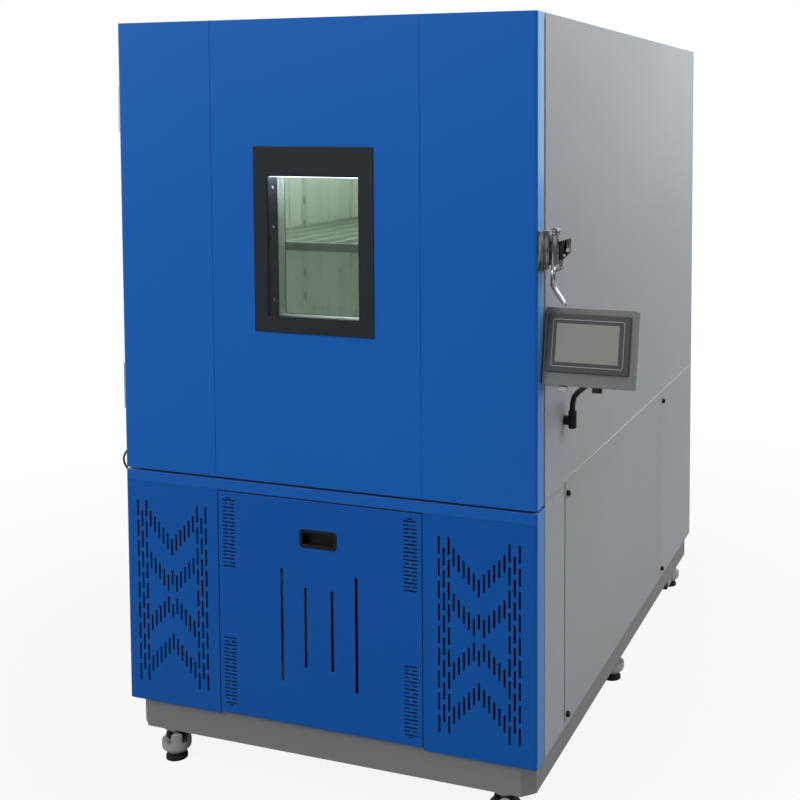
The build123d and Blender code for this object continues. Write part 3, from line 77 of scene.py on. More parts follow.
PEEL_SCALE = 350.0
CLOUD_SCALE = 1.6
FLECK_SCALE = 900.0
FLECK = 0.08
GLOSS_SWING = 0.12
FOLD_RADIUS = 1.6
FOLD_SAMPLES = 4
# Edges are lightened by this gain and lift: partly wear, partly a painted highlight on folds that
# catch the light
EDGE_HIGHLIGHT_GAIN = 1.35
EDGE_HIGHLIGHT_LIFT = 0.05
WEAR_AND_HIGHLIGHT_SCALE = 60.0
DUST_SCALE = 9.0
DUST_COLOUR = (176, 172, 164)
# Painted sheen: a light colour that the door blue is blended towards where a face turns away,
# stronger higher up; the same weight also sets the real coat
PAINTED_SHEEN_COLOUR = (132, 190, 226)
SHEEN_RISE = (0.9, 1.8, 0.35, 1.3)
SHEEN_COAT = 0.75
PAINTED_SHEEN_SHARE = 0.55
BUMP_STRENGTH = 0.6
TEXTURE_OUTPUTS = {
    "Colour": "NodeSocketColor", "Roughness": "NodeSocketFloat", "Height": "NodeSocketFloat",
}


def new_group(
    name: str, inputs: dict[str, tuple[str, object]], outputs: dict[str, str]
) -> tuple[Tree, Node, Node]:
    """Empty shader node group with named sockets.

    Args:
        name: Name of the group.
        inputs: Socket type and default value of each input, by name.
        outputs: Socket type of each output, by name.

    Returns:
        The node tree, its input node and its output node.
    """
    tree = bpy.data.node_groups.new(name, "ShaderNodeTree")
    for label, (kind, value) in inputs.items():
        socket = tree.interface.new_socket(label, in_out="INPUT", socket_type=kind)
        socket.default_value = value
    for label, kind in outputs.items():
        tree.interface.new_socket(label, in_out="OUTPUT", socket_type=kind)
    return tree, tree.nodes.new("NodeGroupInput"), tree.nodes.new("NodeGroupOutput")


def feed(tree: Tree, value: Socket | float | tuple, socket: Socket) -> None:
    """Links an output into a socket, or sets the socket to a plain value."""
    if isinstance(value, Socket):
        tree.links.new(value, socket)
    else:
        socket.default_value = value


def preset(node: Node, values: dict[str, object]) -> None:
    """Sets inputs of a node to plain values, by their labels."""
    for label, value in values.items():
        node.inputs[label].default_value = value


def own_place(tree: Tree) -> Socket:
    """Coordinates in the space of the piece itself, on which every effect runs."""
    return tree.nodes.new("ShaderNodeTexCoord").outputs["Object"]


def noise(tree: Tree, scale: float, detail: float, vector: Socket) -> Node:
    """Noise texture of one scale on the given coordinates."""
    node = tree.nodes.new("ShaderNodeTexNoise")
    preset(node, {"Scale": scale, "Detail": detail})
    tree.links.new(vector, node.inputs["Vector"])
    return node


def calculate(
    tree: Tree, operation: str, first: Socket | float, second: Socket | float, clamp: bool = False
) -> Socket:
    """Math node on sockets or plain numbers.

    Args:
        tree: Node tree that gets the node.
        operation: Name of the math operation.
        first: Socket or number.
        second: Socket or number.
        clamp: Whether the result is kept between 0 and 1.

    Returns:
        The output socket.
    """
    node = tree.nodes.new("ShaderNodeMath")
    node.operation = operation
    node.use_clamp = clamp
    feed(tree, first, node.inputs[0])
    feed(tree, second, node.inputs[1])
    return node.outputs[0]


def swing(tree: Tree, texture: Node, amount: Socket | float) -> Socket:
    """Value of a noise texture, centred on 0 and scaled."""
    centred = calculate(tree, "SUBTRACT", texture.outputs["Fac"], 0.5)
    return calculate(tree, "MULTIPLY", centred, amount)


def map_range(tree: Tree, value: Socket, limits: tuple[float, float, float, float]) -> Socket:
    """Value carried from the first two limits to the last two, and held at their ends."""
    node = tree.nodes.new("ShaderNodeMapRange")
    preset(node, dict(zip(("From Min", "From Max", "To Min", "To Max"), limits)))
    tree.links.new(value, node.inputs["Value"])
    return node.outputs[0]


def shaded(tree: Tree, colour: Socket, value: Socket) -> Socket:
    """Colour made lighter or darker by a value round 1."""
    shade = tree.nodes.new("ShaderNodeHueSaturation")
    tree.links.new(colour, shade.inputs["Color"])
    tree.links.new(value, shade.inputs["Value"])
    return shade.outputs["Color"]


def blend_colours(
    tree: Tree, mask: Socket, under: Socket | tuple, over: Socket | tuple
) -> Socket:
    """Colour that goes from one to the other as the mask goes from 0 to 1.

    Args:
        tree: Node tree that gets the node.
        mask: Share of the second colour.
        under: Colour where the mask is 0.
        over: Colour where the mask is 1.

    Returns:
        The output socket.
    """
    node = tree.nodes.new("ShaderNodeMix")
    node.data_type = "RGBA"
    for index, value in ((0, mask), (6, under), (7, over)):
        feed(tree, value, node.inputs[index])
    return node.outputs[2]


def powder_coat_group() -> Tree:
    """Orange peel of sprayed paint: fine height, faint cloudy tone and uneven gloss."""
    tree, given, made = new_group(
        "Powder coat",
        {
            "Colour": ("NodeSocketColor", (0.5, 0.5, 0.5, 1.0)),
            "Peel scale": ("NodeSocketFloat", PEEL_SCALE),
            "Cloud": ("NodeSocketFloat", 0.1),
            "Roughness": ("NodeSocketFloat", 0.4),
        },
        TEXTURE_OUTPUTS,
    )
    where = own_place(tree)
    peel = noise(tree, PEEL_SCALE, 2.0, where)
    tree.links.new(given.outputs["Peel scale"], peel.inputs["Scale"])
    cloud = noise(tree, CLOUD_SCALE, 2.0, where)
    fleck = noise(tree, FLECK_SCALE, 1.0, where)
    soft = swing(tree, cloud, given.outputs["Cloud"])
    grain = swing(tree, fleck, FLECK)
    value = calculate(tree, "ADD", calculate(tree, "ADD", grain, soft), 1.0)
    tree.links.new(shaded(tree, given.outputs["Colour"], value), made.inputs["Colour"])
    gloss = swing(tree, peel, GLOSS_SWING)
    gloss = calculate(tree, "ADD", gloss, given.outputs["Roughness"], clamp=True)
    tree.links.new(gloss, made.inputs["Roughness"])
    tree.links.new(peel.outputs["Fac"], made.inputs["Height"])
    return tree


def brushed_group() -> Tree:
    """Brushed or drawn metal: noise stretched along one direction of the sheet."""
    tree, given, made = new_group(
        "Brushed grain",
        {
            "Colour": ("NodeSocketColor", (0.6, 0.6, 0.6, 1.0)),
            "Stretch": ("NodeSocketVector", (10.0, 10.0, 900.0)),
            "Contrast": ("NodeSocketFloat", 0.15),
            "Roughness": ("NodeSocketFloat", 0.3),
        },
        TEXTURE_OUTPUTS,
    )
    stretch = tree.nodes.new("ShaderNodeVectorMath")
    stretch.operation = "MULTIPLY"
    tree.links.new(own_place(tree), stretch.inputs[0])
    tree.links.new(given.outputs["Stretch"], stretch.inputs[1])
    streak = noise(tree, 1.0, 3.0, stretch.outputs[0])
    tone = swing(tree, streak, given.outputs["Contrast"])
    value = calculate(tree, "ADD", tone, 1.0)
    tree.links.new(shaded(tree, given.outputs["Colour"], value), made.inputs["Colour"])
    rough = calculate(tree, "ADD", tone, given.outputs["Roughness"], clamp=True)
    tree.links.new(rough, made.inputs["Roughness"])
    tree.links.new(streak.outputs["Fac"], made.inputs["Height"])
    return tree


def edge_group() -> Tree:
    """Rounded folds: a normal that turns softly over an edge, and a mask that is 1 on the edge,
    which lightens the paint there as partly wear and partly a painted highlight.
    """
    tree, given, made = new_group(
        "Fold edge",
        {"Wear and highlight": ("NodeSocketFloat", 1.0)},
        {"Mask": "NodeSocketFloat", "Normal": "NodeSocketVector"},
    )
    bevel = tree.nodes.new("ShaderNodeBevel")
    bevel.samples = FOLD_SAMPLES
    preset(bevel, {"Radius": FOLD_RADIUS * MILLIMETRE})
    flat = tree.nodes.new("ShaderNodeNewGeometry")
    turn = tree.nodes.new("ShaderNodeVectorMath")
    turn.operation = "DOT_PRODUCT"
    tree.links.new(bevel.outputs["Normal"], turn.inputs[0])
    tree.links.new(flat.outputs["Normal"], turn.inputs[1])
    edge = calculate(tree, "SUBTRACT", 1.0, turn.outputs["Value"], clamp=True)
    patch = noise(tree, WEAR_AND_HIGHLIGHT_SCALE, 3.0, own_place(tree))
    edge = calculate(tree, "MULTIPLY", edge, patch.outputs["Fac"])
    edge = calculate(tree, "MULTIPLY", edge, given.outputs["Wear and highlight"], clamp=True)
    tree.links.new(edge, made.inputs["Mask"])
    tree.links.new(bevel.outputs["Normal"], made.inputs["Normal"])
    return tree


def dust_group() -> Tree:
    """Thin dust on surfaces that face up, broken by noise."""
    tree, given, made = new_group(
        "Settled dust",
        {"Amount": ("NodeSocketFloat", 0.1)},
        {"Mask": "NodeSocketFloat"},
    )
    flat = tree.nodes.new("ShaderNodeNewGeometry")
    split = tree.nodes.new("ShaderNodeSeparateXYZ")
    tree.links.new(flat.outputs["Normal"], split.inputs[0])
    patch = noise(tree, DUST_SCALE, 5.0, own_place(tree))
    up = calculate(tree, "MAXIMUM", split.outputs["Z"], 0.0)
    mask = calculate(tree, "MULTIPLY", up, patch.outputs["Fac"])
    mask = calculate(tree, "MULTIPLY", mask, given.outputs["Amount"], clamp=True)
    tree.links.new(mask, made.inputs["Mask"])
    return tree


def sheen_weight(tree: Tree, strength: float) -> Socket:
    """Weight of the sheen, which grows as the surface turns away, and with the height on the
    cabinet; it sets the coat and the painted sheen in the base colour.

    Args:
        tree: Node tree that gets the nodes.
        strength: Factor on the weight before it is held between 0 and 1.

    Returns:
        The output socket.
    """
    facing = tree.nodes.new("ShaderNodeLayerWeight")
    preset(facing, {"Blend": 0.5})
    weight = calculate(tree, "POWER", facing.outputs["Facing"], 3.0)
    split = tree.nodes.new("ShaderNodeSeparateXYZ")
    tree.links.new(own_place(tree), split.inputs[0])
    # Painted light: the weight rises with height, so the painted sheen is lighter towards the top
    # of the cabinet
    rise = map_range(tree, split.outputs["Z"], SHEEN_RISE)
    weight = calculate(tree, "MULTIPLY", weight, rise)
    return calculate(tree, "MULTIPLY", weight, strength, clamp=True)


GROUPS = {
    "coat": powder_coat_group(),
    "brushed": brushed_group(),
    "edge": edge_group(),
    "dust": dust_group(),
}


def shared(tree: Tree, effect: str) -> Node:
    """Node of one of the shared effects."""
    node = tree.nodes.new("ShaderNodeGroup")
    node.node_tree = GROUPS[effect]
    return node


def new_material(name: str) -> tuple[bpy.types.Material, Tree, Node]:
    """Node material that is still plain, with its tree and its shader."""
    made = bpy.data.materials.new(name)
    made.use_nodes = True
    return made, made.node_tree, made.node_tree.nodes["Principled BSDF"]


class Surface(Enum):
    """How a finish gets its texture."""

    COATED = "coat"
    BRUSHED = "brushed"


@dataclass(frozen=True)
class Finish:
    """One finish of the chamber, with all the numbers of its material."""

    name: str
    colour: tuple[int, int, int]
    roughness: float
    metallic: float = 0.0
    surface: Surface = Surface.COATED
    scale: float = PEEL_SCALE
    stretch: tuple[float, float, float] = (12.0, 12.0, 900.0)
    contrast: float = 0.08
    relief: float = 0.05
    specular: float = 0.3
    coat: float = 0.0
    coat_roughness: float = 0.1
    sheen_strength: float = 0.0
    # Strength of the edge lightening, partly wear and partly painted highlight
    wear_and_highlight: float = 0.5
    dust: float = 0.06
    emission: float = 0.0

    def material(self) -> bpy.types.Material:
        """Node material of the finish."""
        made, tree, shader = new_material(self.name)
        colour = (*linear(*self.colour), 1.0)
        texture = shared(tree, self.surface.value)
        preset(texture, {"Colour": colour, "Roughness": self.roughness})
        if self.surface is Surface.COATED:
            preset(texture, {"Peel scale": self.scale, "Cloud": self.contrast})
        else:
            preset(texture, {"Stretch": self.stretch, "Contrast": self.contrast})
        edge, dust = shared(tree, "edge"), shared(tree, "dust")
        preset(edge, {"Wear and highlight": self.wear_and_highlight})
        preset(dust, {"Amount": self.dust})
        # Painted highlight and wear: the edge mask blends in a lighter copy of the colour
        bright = tuple(min(1.0, v * EDGE_HIGHLIGHT_GAIN + EDGE_HIGHLIGHT_LIFT) for v in colour[:3]) + (1.0,)
        pale = (*linear(*DUST_COLOUR), 1.0)
        shown = blend_colours(tree, edge.outputs["Mask"], texture.outputs["Colour"], bright)
        shown = blend_colours(tree, dust.outputs["Mask"], shown, pale)
        bump = tree.nodes.new("ShaderNodeBump")
        preset(bump, {"Distance": self.relief * MILLIMETRE, "Strength": BUMP_STRENGTH})
        tree.links.new(texture.outputs["Height"], bump.inputs["Height"])
        tree.links.new(edge.outputs["Normal"], bump.inputs["Normal"])
        tree.links.new(texture.outputs["Roughness"], shader.inputs["Roughness"])
        tree.links.new(bump.outputs["Normal"], shader.inputs["Normal"])
        values = {
            "Metallic": self.metallic, "Specular IOR Level": self.specular,
            "Coat Weight": self.coat, "Coat Roughness": self.coat_roughness,
        }
        preset(shader, values)
        if self.sheen_strength:
            weight = sheen_weight(tree, self.sheen_strength)
            coat = calculate(tree, "MULTIPLY", weight, SHEEN_COAT)
            tree.links.new(coat, shader.inputs["Coat Weight"])
            # Painted sheen: the base colour goes towards a light cyan at grazing angles, standing
            # in for reflected light
            haze = calculate(tree, "MULTIPLY", weight, PAINTED_SHEEN_SHARE)
            shown = blend_colours(tree, haze, shown, (*linear(*PAINTED_SHEEN_COLOUR), 1.0))
        tree.links.new(shown, shader.inputs["Base Color"])
        if self.emission:
            preset(shader, {"Emission Color": colour, "Emission Strength": self.emission})
        return made


@dataclass(frozen=True)
class GlassFinish:
    """Clear pane with a slight green tint and faint smears in its gloss."""

    name: str
    tint: tuple[int, int, int]
    haze: float = 0.09
    index: float = 1.45
    depth: float = 0.97

    def material(self) -> bpy.types.Material:
        """Node material of the pane, with a gloss that its smears change."""
        made, tree, shader = new_material(self.name)
        smear = noise(tree, 7.0, 4.0, own_place(tree))
        rough = calculate(tree, "MULTIPLY", smear.outputs["Fac"], self.haze)
        tint = (*linear(*self.tint), 1.0)
        deep = (*linear(*(int(v * self.depth) for v in self.tint)), 1.0)
        shown = blend_colours(tree, smear.outputs["Fac"], tint, deep)
        tree.links.new(shown, shader.inputs["Base Color"])
        tree.links.new(rough, shader.inputs["Roughness"])
        preset(shader, {"Transmission Weight": 1.0, "IOR": self.index})
        return made


# The door blue, and its copies below, carry the coat and the painted sheen at grazing angles
BLUE_PAINT = Finish(
    "door_blue", (22, 91, 173), 0.42, contrast=0.10, specular=0.08, coat_roughness=0.12,
    sheen_strength=3.2,
)
GREY_PAINT = Finish("side_grey", (146, 149, 151), 0.42, contrast=0.14, specular=0.2)
FINISHES: dict[str, Finish | GlassFinish] = {
    "blue_paint": BLUE_PAINT,
    "grey_paint": GREY_PAINT,
    "plinth_paint": Finish(
        "plinth_grey", (122, 122, 122), 0.5, contrast=0.10, specular=0.15, dust=0.1,
    ),
    "frame_paint": Finish("inner_frame_grey", (44, 45, 47), 0.5, dust=0.1),
    "stainless": Finish(
        "brushed_stainless", (188, 192, 188), 0.36, 0.75, Surface.BRUSHED, contrast=0.18,
        relief=0.02, specular=0.5, wear_and_highlight=0.2, dust=0.0,
    ),
    "bright_steel": Finish(
        "bright_zinc", (205, 207, 208), 0.25, 1.0, Surface.BRUSHED,
        stretch=(300.0, 20.0, 20.0), contrast=0.15, relief=0.02, specular=0.5, wear_and_highlight=0.2, dust=0.0,
    ),
    "foam": Finish("foam_cream", (226, 214, 178), 0.9, scale=140.0, relief=0.6, contrast=0.12),
    "chrome": Finish(
        "latch_chrome", (158, 160, 165), 0.09, 1.0, Surface.BRUSHED,
        stretch=(170.0, 120.0, 22.0), contrast=2.1, relief=0.01, specular=0.5, wear_and_highlight=1.0, dust=0.0,
    ),
    "black_plastic": Finish(
        "moulded_black", (14, 14, 15), 0.38, scale=900.0, relief=0.03, wear_and_highlight=0.15, specular=0.2,
        dust=0.0,
    ),
    "window_paint": Finish(
        "window_charcoal", (35, 42, 47), 0.45, scale=500.0, specular=0.1, wear_and_highlight=0.25,
    ),
    "glass": GlassFinish("window_pane", (238, 246, 240)),
    "lamp": Finish(
        "lamp_tube", (206, 220, 255), 0.4, scale=60.0, relief=0.0, emission=9.0, wear_and_highlight=0.0,
    ),
    "rubber": Finish(
        "gasket_rubber", (26, 26, 27), 0.7, scale=700.0, relief=0.04, specular=0.2, wear_and_highlight=0.1,
    ),
    "hmi_paint": Finish("controller_grey", (110, 111, 110), 0.42, scale=420.0, specular=0.15),
    # Painted highlight: strong edge lightening along the bezel's edges, for the light its top edge
    # catches
    "bezel_plastic": Finish(
        "bezel_grey", (62, 63, 64), 0.4, scale=900.0, relief=0.02, specular=0.2, wear_and_highlight=3.0,
    ),
    "screen": Finish(
        "screen_off", (124, 126, 121), 0.25, scale=1200.0, relief=0.002, contrast=0.05,
        coat=0.15, coat_roughness=0.08, wear_and_highlight=0.0, dust=0.0,
    ),
    "caster_metal": Finish(
        "caster_casting", (166, 166, 164), 0.42, 0.35, scale=260.0, relief=0.12, contrast=0.14,
    ),
    "wheel_plastic": Finish("wheel_nylon", (34, 34, 35), 0.5, scale=500.0, wear_and_highlight=0.3),
    "machine_black": Finish(
        "machine_black", (22, 22, 23), 0.45, scale=300.0, relief=0.1, dust=0.2,
    ),
    "tank_plastic": Finish(
        "tank_white", (214, 216, 210), 0.4, scale=60.0, relief=0.2, contrast=0.1,
    ),
    "aluminium": Finish(
        "fin_aluminium", (170, 172, 174), 0.35, 1.0, Surface.BRUSHED,
        stretch=(900.0, 12.0, 12.0), contrast=0.4, relief=0.3, specular=0.5, wear_and_highlight=0.2, dust=0.1,
    ),
}
# Painted shade: the lower panels take a darker copy of the door blue, as the light falls off
# towards the floor
SHADED_PANEL_FINISH = replace(BLUE_PAINT, name="panel_blue_painted_shade", colour=(12, 81, 160))
# Painted highlight: strong edge lightening on the front rail stands in for the light its folded
# edge catches
RAIL_HIGHLIGHT_FINISH = replace(BLUE_PAINT, name="rail_blue_highlight", colour=(22, 89, 172), wear_and_highlight=4.0)
# Painted shade and highlight: the access covers take a slightly darker copy of the side grey,
# lower on the side, and strong edge lightening as the highlight of their top edge
COVER_SHADE_HIGHLIGHT_FINISH = replace(GREY_PAINT, name="cover_grey_shade_highlight", colour=(143, 146, 148), wear_and_highlight=2.5)
LINER_FINISH = Finish(
    "liner_stainless", (180, 187, 180), 0.4, 0.55, Surface.BRUSHED, stretch=(38.0, 38.0, 1.6),
    contrast=0.75, relief=0.02, specular=0.5, wear_and_highlight=0.2, dust=0.0,
)
REVEAL_FINISH = Finish(
    "reveal_dark", (12, 15, 20), 0.4, scale=600.0, specular=0.15, wear_and_highlight=0.2, dust=0.0,
)
TRIM_FINISH = Finish(
    "bezel_trim", (168, 170, 168), 0.35, scale=900.0, relief=0.01, wear_and_highlight=0.0, dust=0.0,
)
SHELF_FINISH = Finish(
    "shelf_steel", (112, 120, 112), 0.5, 0.3, Surface.BRUSHED, stretch=(20.0, 300.0, 20.0),
    contrast=0.2, relief=0.02, specular=0.3, wear_and_highlight=0.2, dust=0.0,
)
# Painted highlight: a light grey for the beads along the side seams
SEAM_HIGHLIGHT_FINISH = Finish("seam_painted_highlight", (186, 189, 191), 0.35, dust=0.0)
LATCH_DARK = Finish(
    "latch_dark", (112, 114, 118), 0.2, 1.0, Surface.BRUSHED, stretch=(160.0, 90.0, 30.0),
    contrast=1.6, relief=0.01, specular=0.5, wear_and_highlight=0.9, dust=0.0,
)


def material_of(finish: Finish | GlassFinish) -> bpy.types.Material:
    """Material of a finish, built once and then shared."""
    return bpy.data.materials.get(finish.name) or finish.material()


class Assembly:
    """Sub-assembly of the chamber: finishes of its CAD nodes, and small pieces that it adds.

    Each finish in the table is the name of a slot's finish or one of the node's own.
    """

    finishes = {}

    def dress(self) -> None:
        """Gives the CAD nodes their finishes."""
        for node, finish in self.finishes.items():
            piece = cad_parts[node]
            material = material_of(FINISHES[finish] if isinstance(finish, str) else finish)
            if not piece.material_slots:
                piece.data.materials.append(material)
            for holder in piece.material_slots:
                holder.material = material

    def build(self) -> None:
        """Adds nothing, for a sub-assembly without pieces of its own."""


# Surfaces worked out with numpy


@dataclass
class Mesh:
    """Corners and faces of a surface, in the building frame, in millimetres."""

    corners: np.ndarray
    faces: np.ndarray


def merged(pieces: list[Mesh]) -> Mesh:
    """All the surfaces of a list in one mesh."""
    starts = np.cumsum([0] + [len(piece.corners) for piece in pieces[:-1]])
    faces = np.vstack([piece.faces + start for piece, start in zip(pieces, starts)])
    return Mesh(np.vstack([piece.corners for piece in pieces]), faces)


def grid_mesh(points: np.ndarray, close_rows: bool, close_columns: bool) -> Mesh:
    """Quads between the neighbours of a grid of points.

    Args:
        points: Rows by columns by 3.
        close_rows: Whether the last row joins the first.
        close_columns: Whether the last column joins the first.

    Returns:
        The mesh, with the corner of row i and column j at i * columns + j.
    """
    rows, columns = points.shape[:2]
    i = np.arange(rows if close_rows else rows - 1)[:, None]
    j = np.arange(columns if close_columns else columns - 1)[None, :]
    right, below = (j + 1) % columns, (i + 1) % rows
    quads = np.stack(
        [i * columns + j, i * columns + right, below * columns + right, below * columns + j], -1
    )
    return Mesh(points.reshape(-1, 3), quads.reshape(-1, 4))


def carried(profile: list, path: np.ndarray, side: np.ndarray) -> Mesh:
    """Closed profile carried round a closed path on the front of the chamber.

    Point (i, j) is path i, plus the profile's first number j along the side direction at i,
    plus its second number j towards the front.

    Args:
        profile: Corners of the closed profile, as sideways and forward distances.
        path: Points of the closed path.
        side: Unit direction across the path at each of its points.

    Returns:
        The closed ring.
    """
    across, ahead = np.asarray(profile, float).T[:, None, :, None]
    points = path[:, None, :] + across * side[:, None, :] + ahead * FORWARD
    return grid_mesh(points, True, True)


def rounded_rectangle(
    x0: float, x1: float, z0: float, z1: float, radius: float, y: float = 0.0, steps: int = 8
) -> tuple[np.ndarray, np.ndarray]:
    """Rounded rectangle across X and Z.

    Each corner is its centre plus the radius times the cosine and sine of an angle that runs
    through a quarter turn, and the outward direction there is that same cosine and sine.

    Args:
        x0: Left side.
        x1: Right side.
        z0: Bottom.
        z1: Top.
        radius: Radius of the corners.
        y: Depth of the rectangle.
        steps: Points in each corner.

    Returns:
        The points and their outward directions.
    """
    quarter = np.linspace(0, np.pi / 2, steps)
    angles = np.concatenate([quarter + turn * np.pi / 2 for turn in range(4)])
    sign_x = np.repeat([1, -1, -1, 1], steps)
    sign_z = np.repeat([1, 1, -1, -1], steps)
    side = np.stack([np.cos(angles), np.zeros_like(angles), np.sin(angles)], 1)
    middle = np.stack(
        [
            (x0 + x1) / 2 + sign_x * ((x1 - x0) / 2 - radius),
            np.full_like(angles, y),
            (z0 + z1) / 2 + sign_z * ((z1 - z0) / 2 - radius),
        ],
        1,
    )
    return middle + radius * side, side


def turned(
    profile: list, places: list, axis: tuple[float, float, float],
    steps: int = 20, lobes: int = 0, depth: float = 0.0,
) -> Mesh:
    """Profile turned about an axis, once at each place.

    The point at turn t of a profile corner with radius r and height h is the place plus
    h along the axis plus r (1 + depth cos(lobes t)) along the turned direction.

    Args:
        profile: Radius and height of each corner, from the pole on top to the foot.
        places: One row for each copy.
        axis: Unit direction of the height.
        steps: Divisions of the full turn.
        lobes: Number of teeth or grips round the turn.
        depth: Depth of the lobes as a share of the radius.

    Returns:
        All the copies in one mesh, with faces outwards.
    """
    radius, height = np.asarray(profile, float).T[:, :, None, None]
    up = np.array(axis, float)
    first = np.cross(up, (0.3, 0.5, 0.81))
    first /= np.linalg.norm(first)
    second = np.cross(up, first)
    turn = np.linspace(0, 2 * np.pi, steps, endpoint=False)
    round_ = np.cos(turn)[:, None] * first + np.sin(turn)[:, None] * second
    swell = 1 + depth * np.cos(lobes * turn) if lobes else np.ones_like(turn)
    one = grid_mesh(radius * swell[:, None] * round_ + height * up, False, True)
    corners = np.asarray(places, float)[:, None, :] + one.corners[None, :, :]
    shift = np.arange(len(places))[:, None, None] * len(one.corners)
    faces = one.faces[None, :, ::-1] + shift
    return Mesh(corners.reshape(-1, 3), faces.reshape(-1, 4))


def plate(
    low: tuple[float, float, float], high: tuple[float, float, float], edge: float
) -> Mesh:
    """Flat bar between two corners, with bevelled edges all round its length in Z.

    Its section across X and Y is an octagon: the box's section with each corner cut by the
    edge, carried from the bottom to the top and closed by its own shrunken ends.

    Args:
        low: Lowest corner.
        high: Highest corner.
        edge: Width of the bevels.

    Returns:
        The bar, closed.
    """
    (x0, y0, z0), (x1, y1, z1) = low, high
    section = np.array(
        [
            (x0 + edge, y0), (x1 - edge, y0), (x1, y0 + edge), (x1, y1 - edge),
            (x1 - edge, y1), (x0 + edge, y1), (x0, y1 - edge), (x0, y0 + edge),
        ]
    )
    middle = section.mean(0)
    small = middle + (section - middle) * 0.001
    inner = np.clip(section, (x0 + edge, y0 + edge), (x1 - edge, y1 - edge))
    levels = [
        (small, z0), (inner, z0), (section, z0 + edge), (section, z1 - edge), (inner, z1),
        (small, z1),
    ]
    points = np.array([[(*corner, z) for corner in ring] for ring, z in levels])
    return grid_mesh(points, False, True)


def new_object(name: str, data: bpy.types.ID) -> bpy.types.Object:
    """Object of some data, linked to the scene."""
    made = bpy.data.objects.new(name, data)
    bpy.context.scene.collection.objects.link(made)
    return made


def make_piece(
    name: str, shape: Mesh, slot: str, body: str, smooth: bool = True, finish: Finish | None = None
) -> None:
    """Turns a surface into a finished piece that rides on a body.

    Args:
        name: Name of the piece.
        shape: Its surface in the building frame.
        slot: Material slot of the record that it takes its finish from.
        body: Body of the frame that it moves with.
        smooth: Whether its faces are shaded smooth.
        finish: Finish of its own, where it differs from the slot's.
    """
    mesh = bpy.data.meshes.new(name)
    mesh.from_pydata(at(shape.corners).tolist(), [], shape.faces.tolist())
    mesh.update()
    mesh.polygons.foreach_set("use_smooth", np.full(len(mesh.polygons), smooth))
    mesh.materials.append(material_of(finish or FINISHES[slot]))
    piece = new_object(name, mesh)
    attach(piece, body)
    log.info("%s: %d faces on %s", name, len(shape.faces), body)


def screws(radius: float, height: float, places: list, axis: tuple, steps: int = 20) -> Mesh:
    """Domed screw heads with sockets, one at each place, that point along an axis."""
    profile = [
        (0.01, height * 0.35), (radius * 0.4, height * 0.35), (radius * 0.42, height),
        (radius * 0.6, height * 0.98), (radius * 0.85, height * 0.75), (radius, height * 0.3),
        (radius, -0.4),
    ]
    return turned(profile, places, axis, steps)


# Sub-assemblies


@dataclass
class CabinetShell(Assembly):
    """Outer sheets of the cabinet, its plinth, rails and rear fasteners."""

    finishes = {
        "plinth": "plinth_paint", "machine_frame": "frame_paint",
        "side_sheets": "grey_paint", "roof_sheet": "grey_paint",
        "rear_panel": "grey_paint", "access_covers": COVER_SHADE_HIGHLIGHT_FINISH,
        "cover_plugs": "black_plastic", "front_frame": "stainless",
        "vent_panels": SHADED_PANEL_FINISH, "front_rail": RAIL_HIGHLIGHT_FINISH,
    }
    half_width: float = 575.0
    front: float = 62.0
    rear: float = 1800.0
    seam: float = 826.5
    bead: float = 1.3
    low: float = 187.0
    high: float = 1978.0
    bead_gap: float = 2.0
    screw: tuple[float, float] = (6.0, 0.4)
    side_inset: float = 18.0
    end_inset: float = 20.0
    row_inset: float = 40.0
    column_inset: float = 160.0
    rows: int = 9
    columns: int = 4

    def build(self) -> None:
        """Screws round the rear sheet, level with its face, and a bead along each side seam,
        painted lighter than the sheets as the highlight on the covers' top edge.
        """
        across = self.half_width - self.column_inset
        z = np.linspace(self.low + self.row_inset, self.high - self.row_inset, self.rows)
        x = np.linspace(-across, across, self.columns)
        sides = [(sign * (self.half_width - self.side_inset), zz) for sign in (-1, 1) for zz in z]
        ends = [
            (xx, zz) for xx in x for zz in (self.low + self.end_inset, self.high - self.end_inset)
        ]
        radius, height = self.screw
        places = [(xx, self.rear - height, zz) for xx, zz in sides + ends]
        shape = screws(radius, height, places, (0, 1, 0))
        make_piece("rear_screws", shape, "bright_steel", "cabinet")
        # Painted highlight: the seam beads take a light grey, for the light that the covers' top
        # edge catches
        start, length = self.front + self.bead_gap, self.rear - self.front - 2 * self.bead_gap
        bead = [(0.01, length), (self.bead, length), (self.bead, 0.0), (0.01, 0.0)]
        starts = [(sign * self.half_width, start, self.seam) for sign in (-1, 1)]
        shape = turned(bead, starts, (0, 1, 0), 12)
        make_piece("side_seam_highlight_beads", shape, "grey_paint", "cabinet", finish=SEAM_HIGHLIGHT_FINISH)


@dataclass
class MainDoor(Assembly):
    """Blue door skin, its inner pan and the gasket with its sealing lip."""

    finishes = {"door_skin": "blue_paint", "door_liner": "stainless", "door_gasket": "rubber"}
    half_width: float = 575.0
    bottom: float = 814.0
    top: float = 1980.0
    gasket_inset: float = 26.8
    gasket_corner: float = 10.0
    gasket_y: float = 56.0
    lip: float = 3.0
    lip_rise: float = 4.8

    def build(self) -> None:
        """Rounded bellows of the gasket, carried round its outer edge."""
        inset = self.gasket_inset
        path, side = rounded_rectangle(
            -self.half_width + inset, self.half_width - inset,
            self.bottom + inset, self.top - inset, self.gasket_corner, self.gasket_y,
        )
        turn = np.linspace(0, 2 * np.pi, 12, endpoint=False)
        profile = np.stack([self.lip * np.cos(turn), self.lip_rise * np.sin(turn)], 1)
        make_piece("gasket_lip", carried(profile, path, side), "rubber", "main_door")


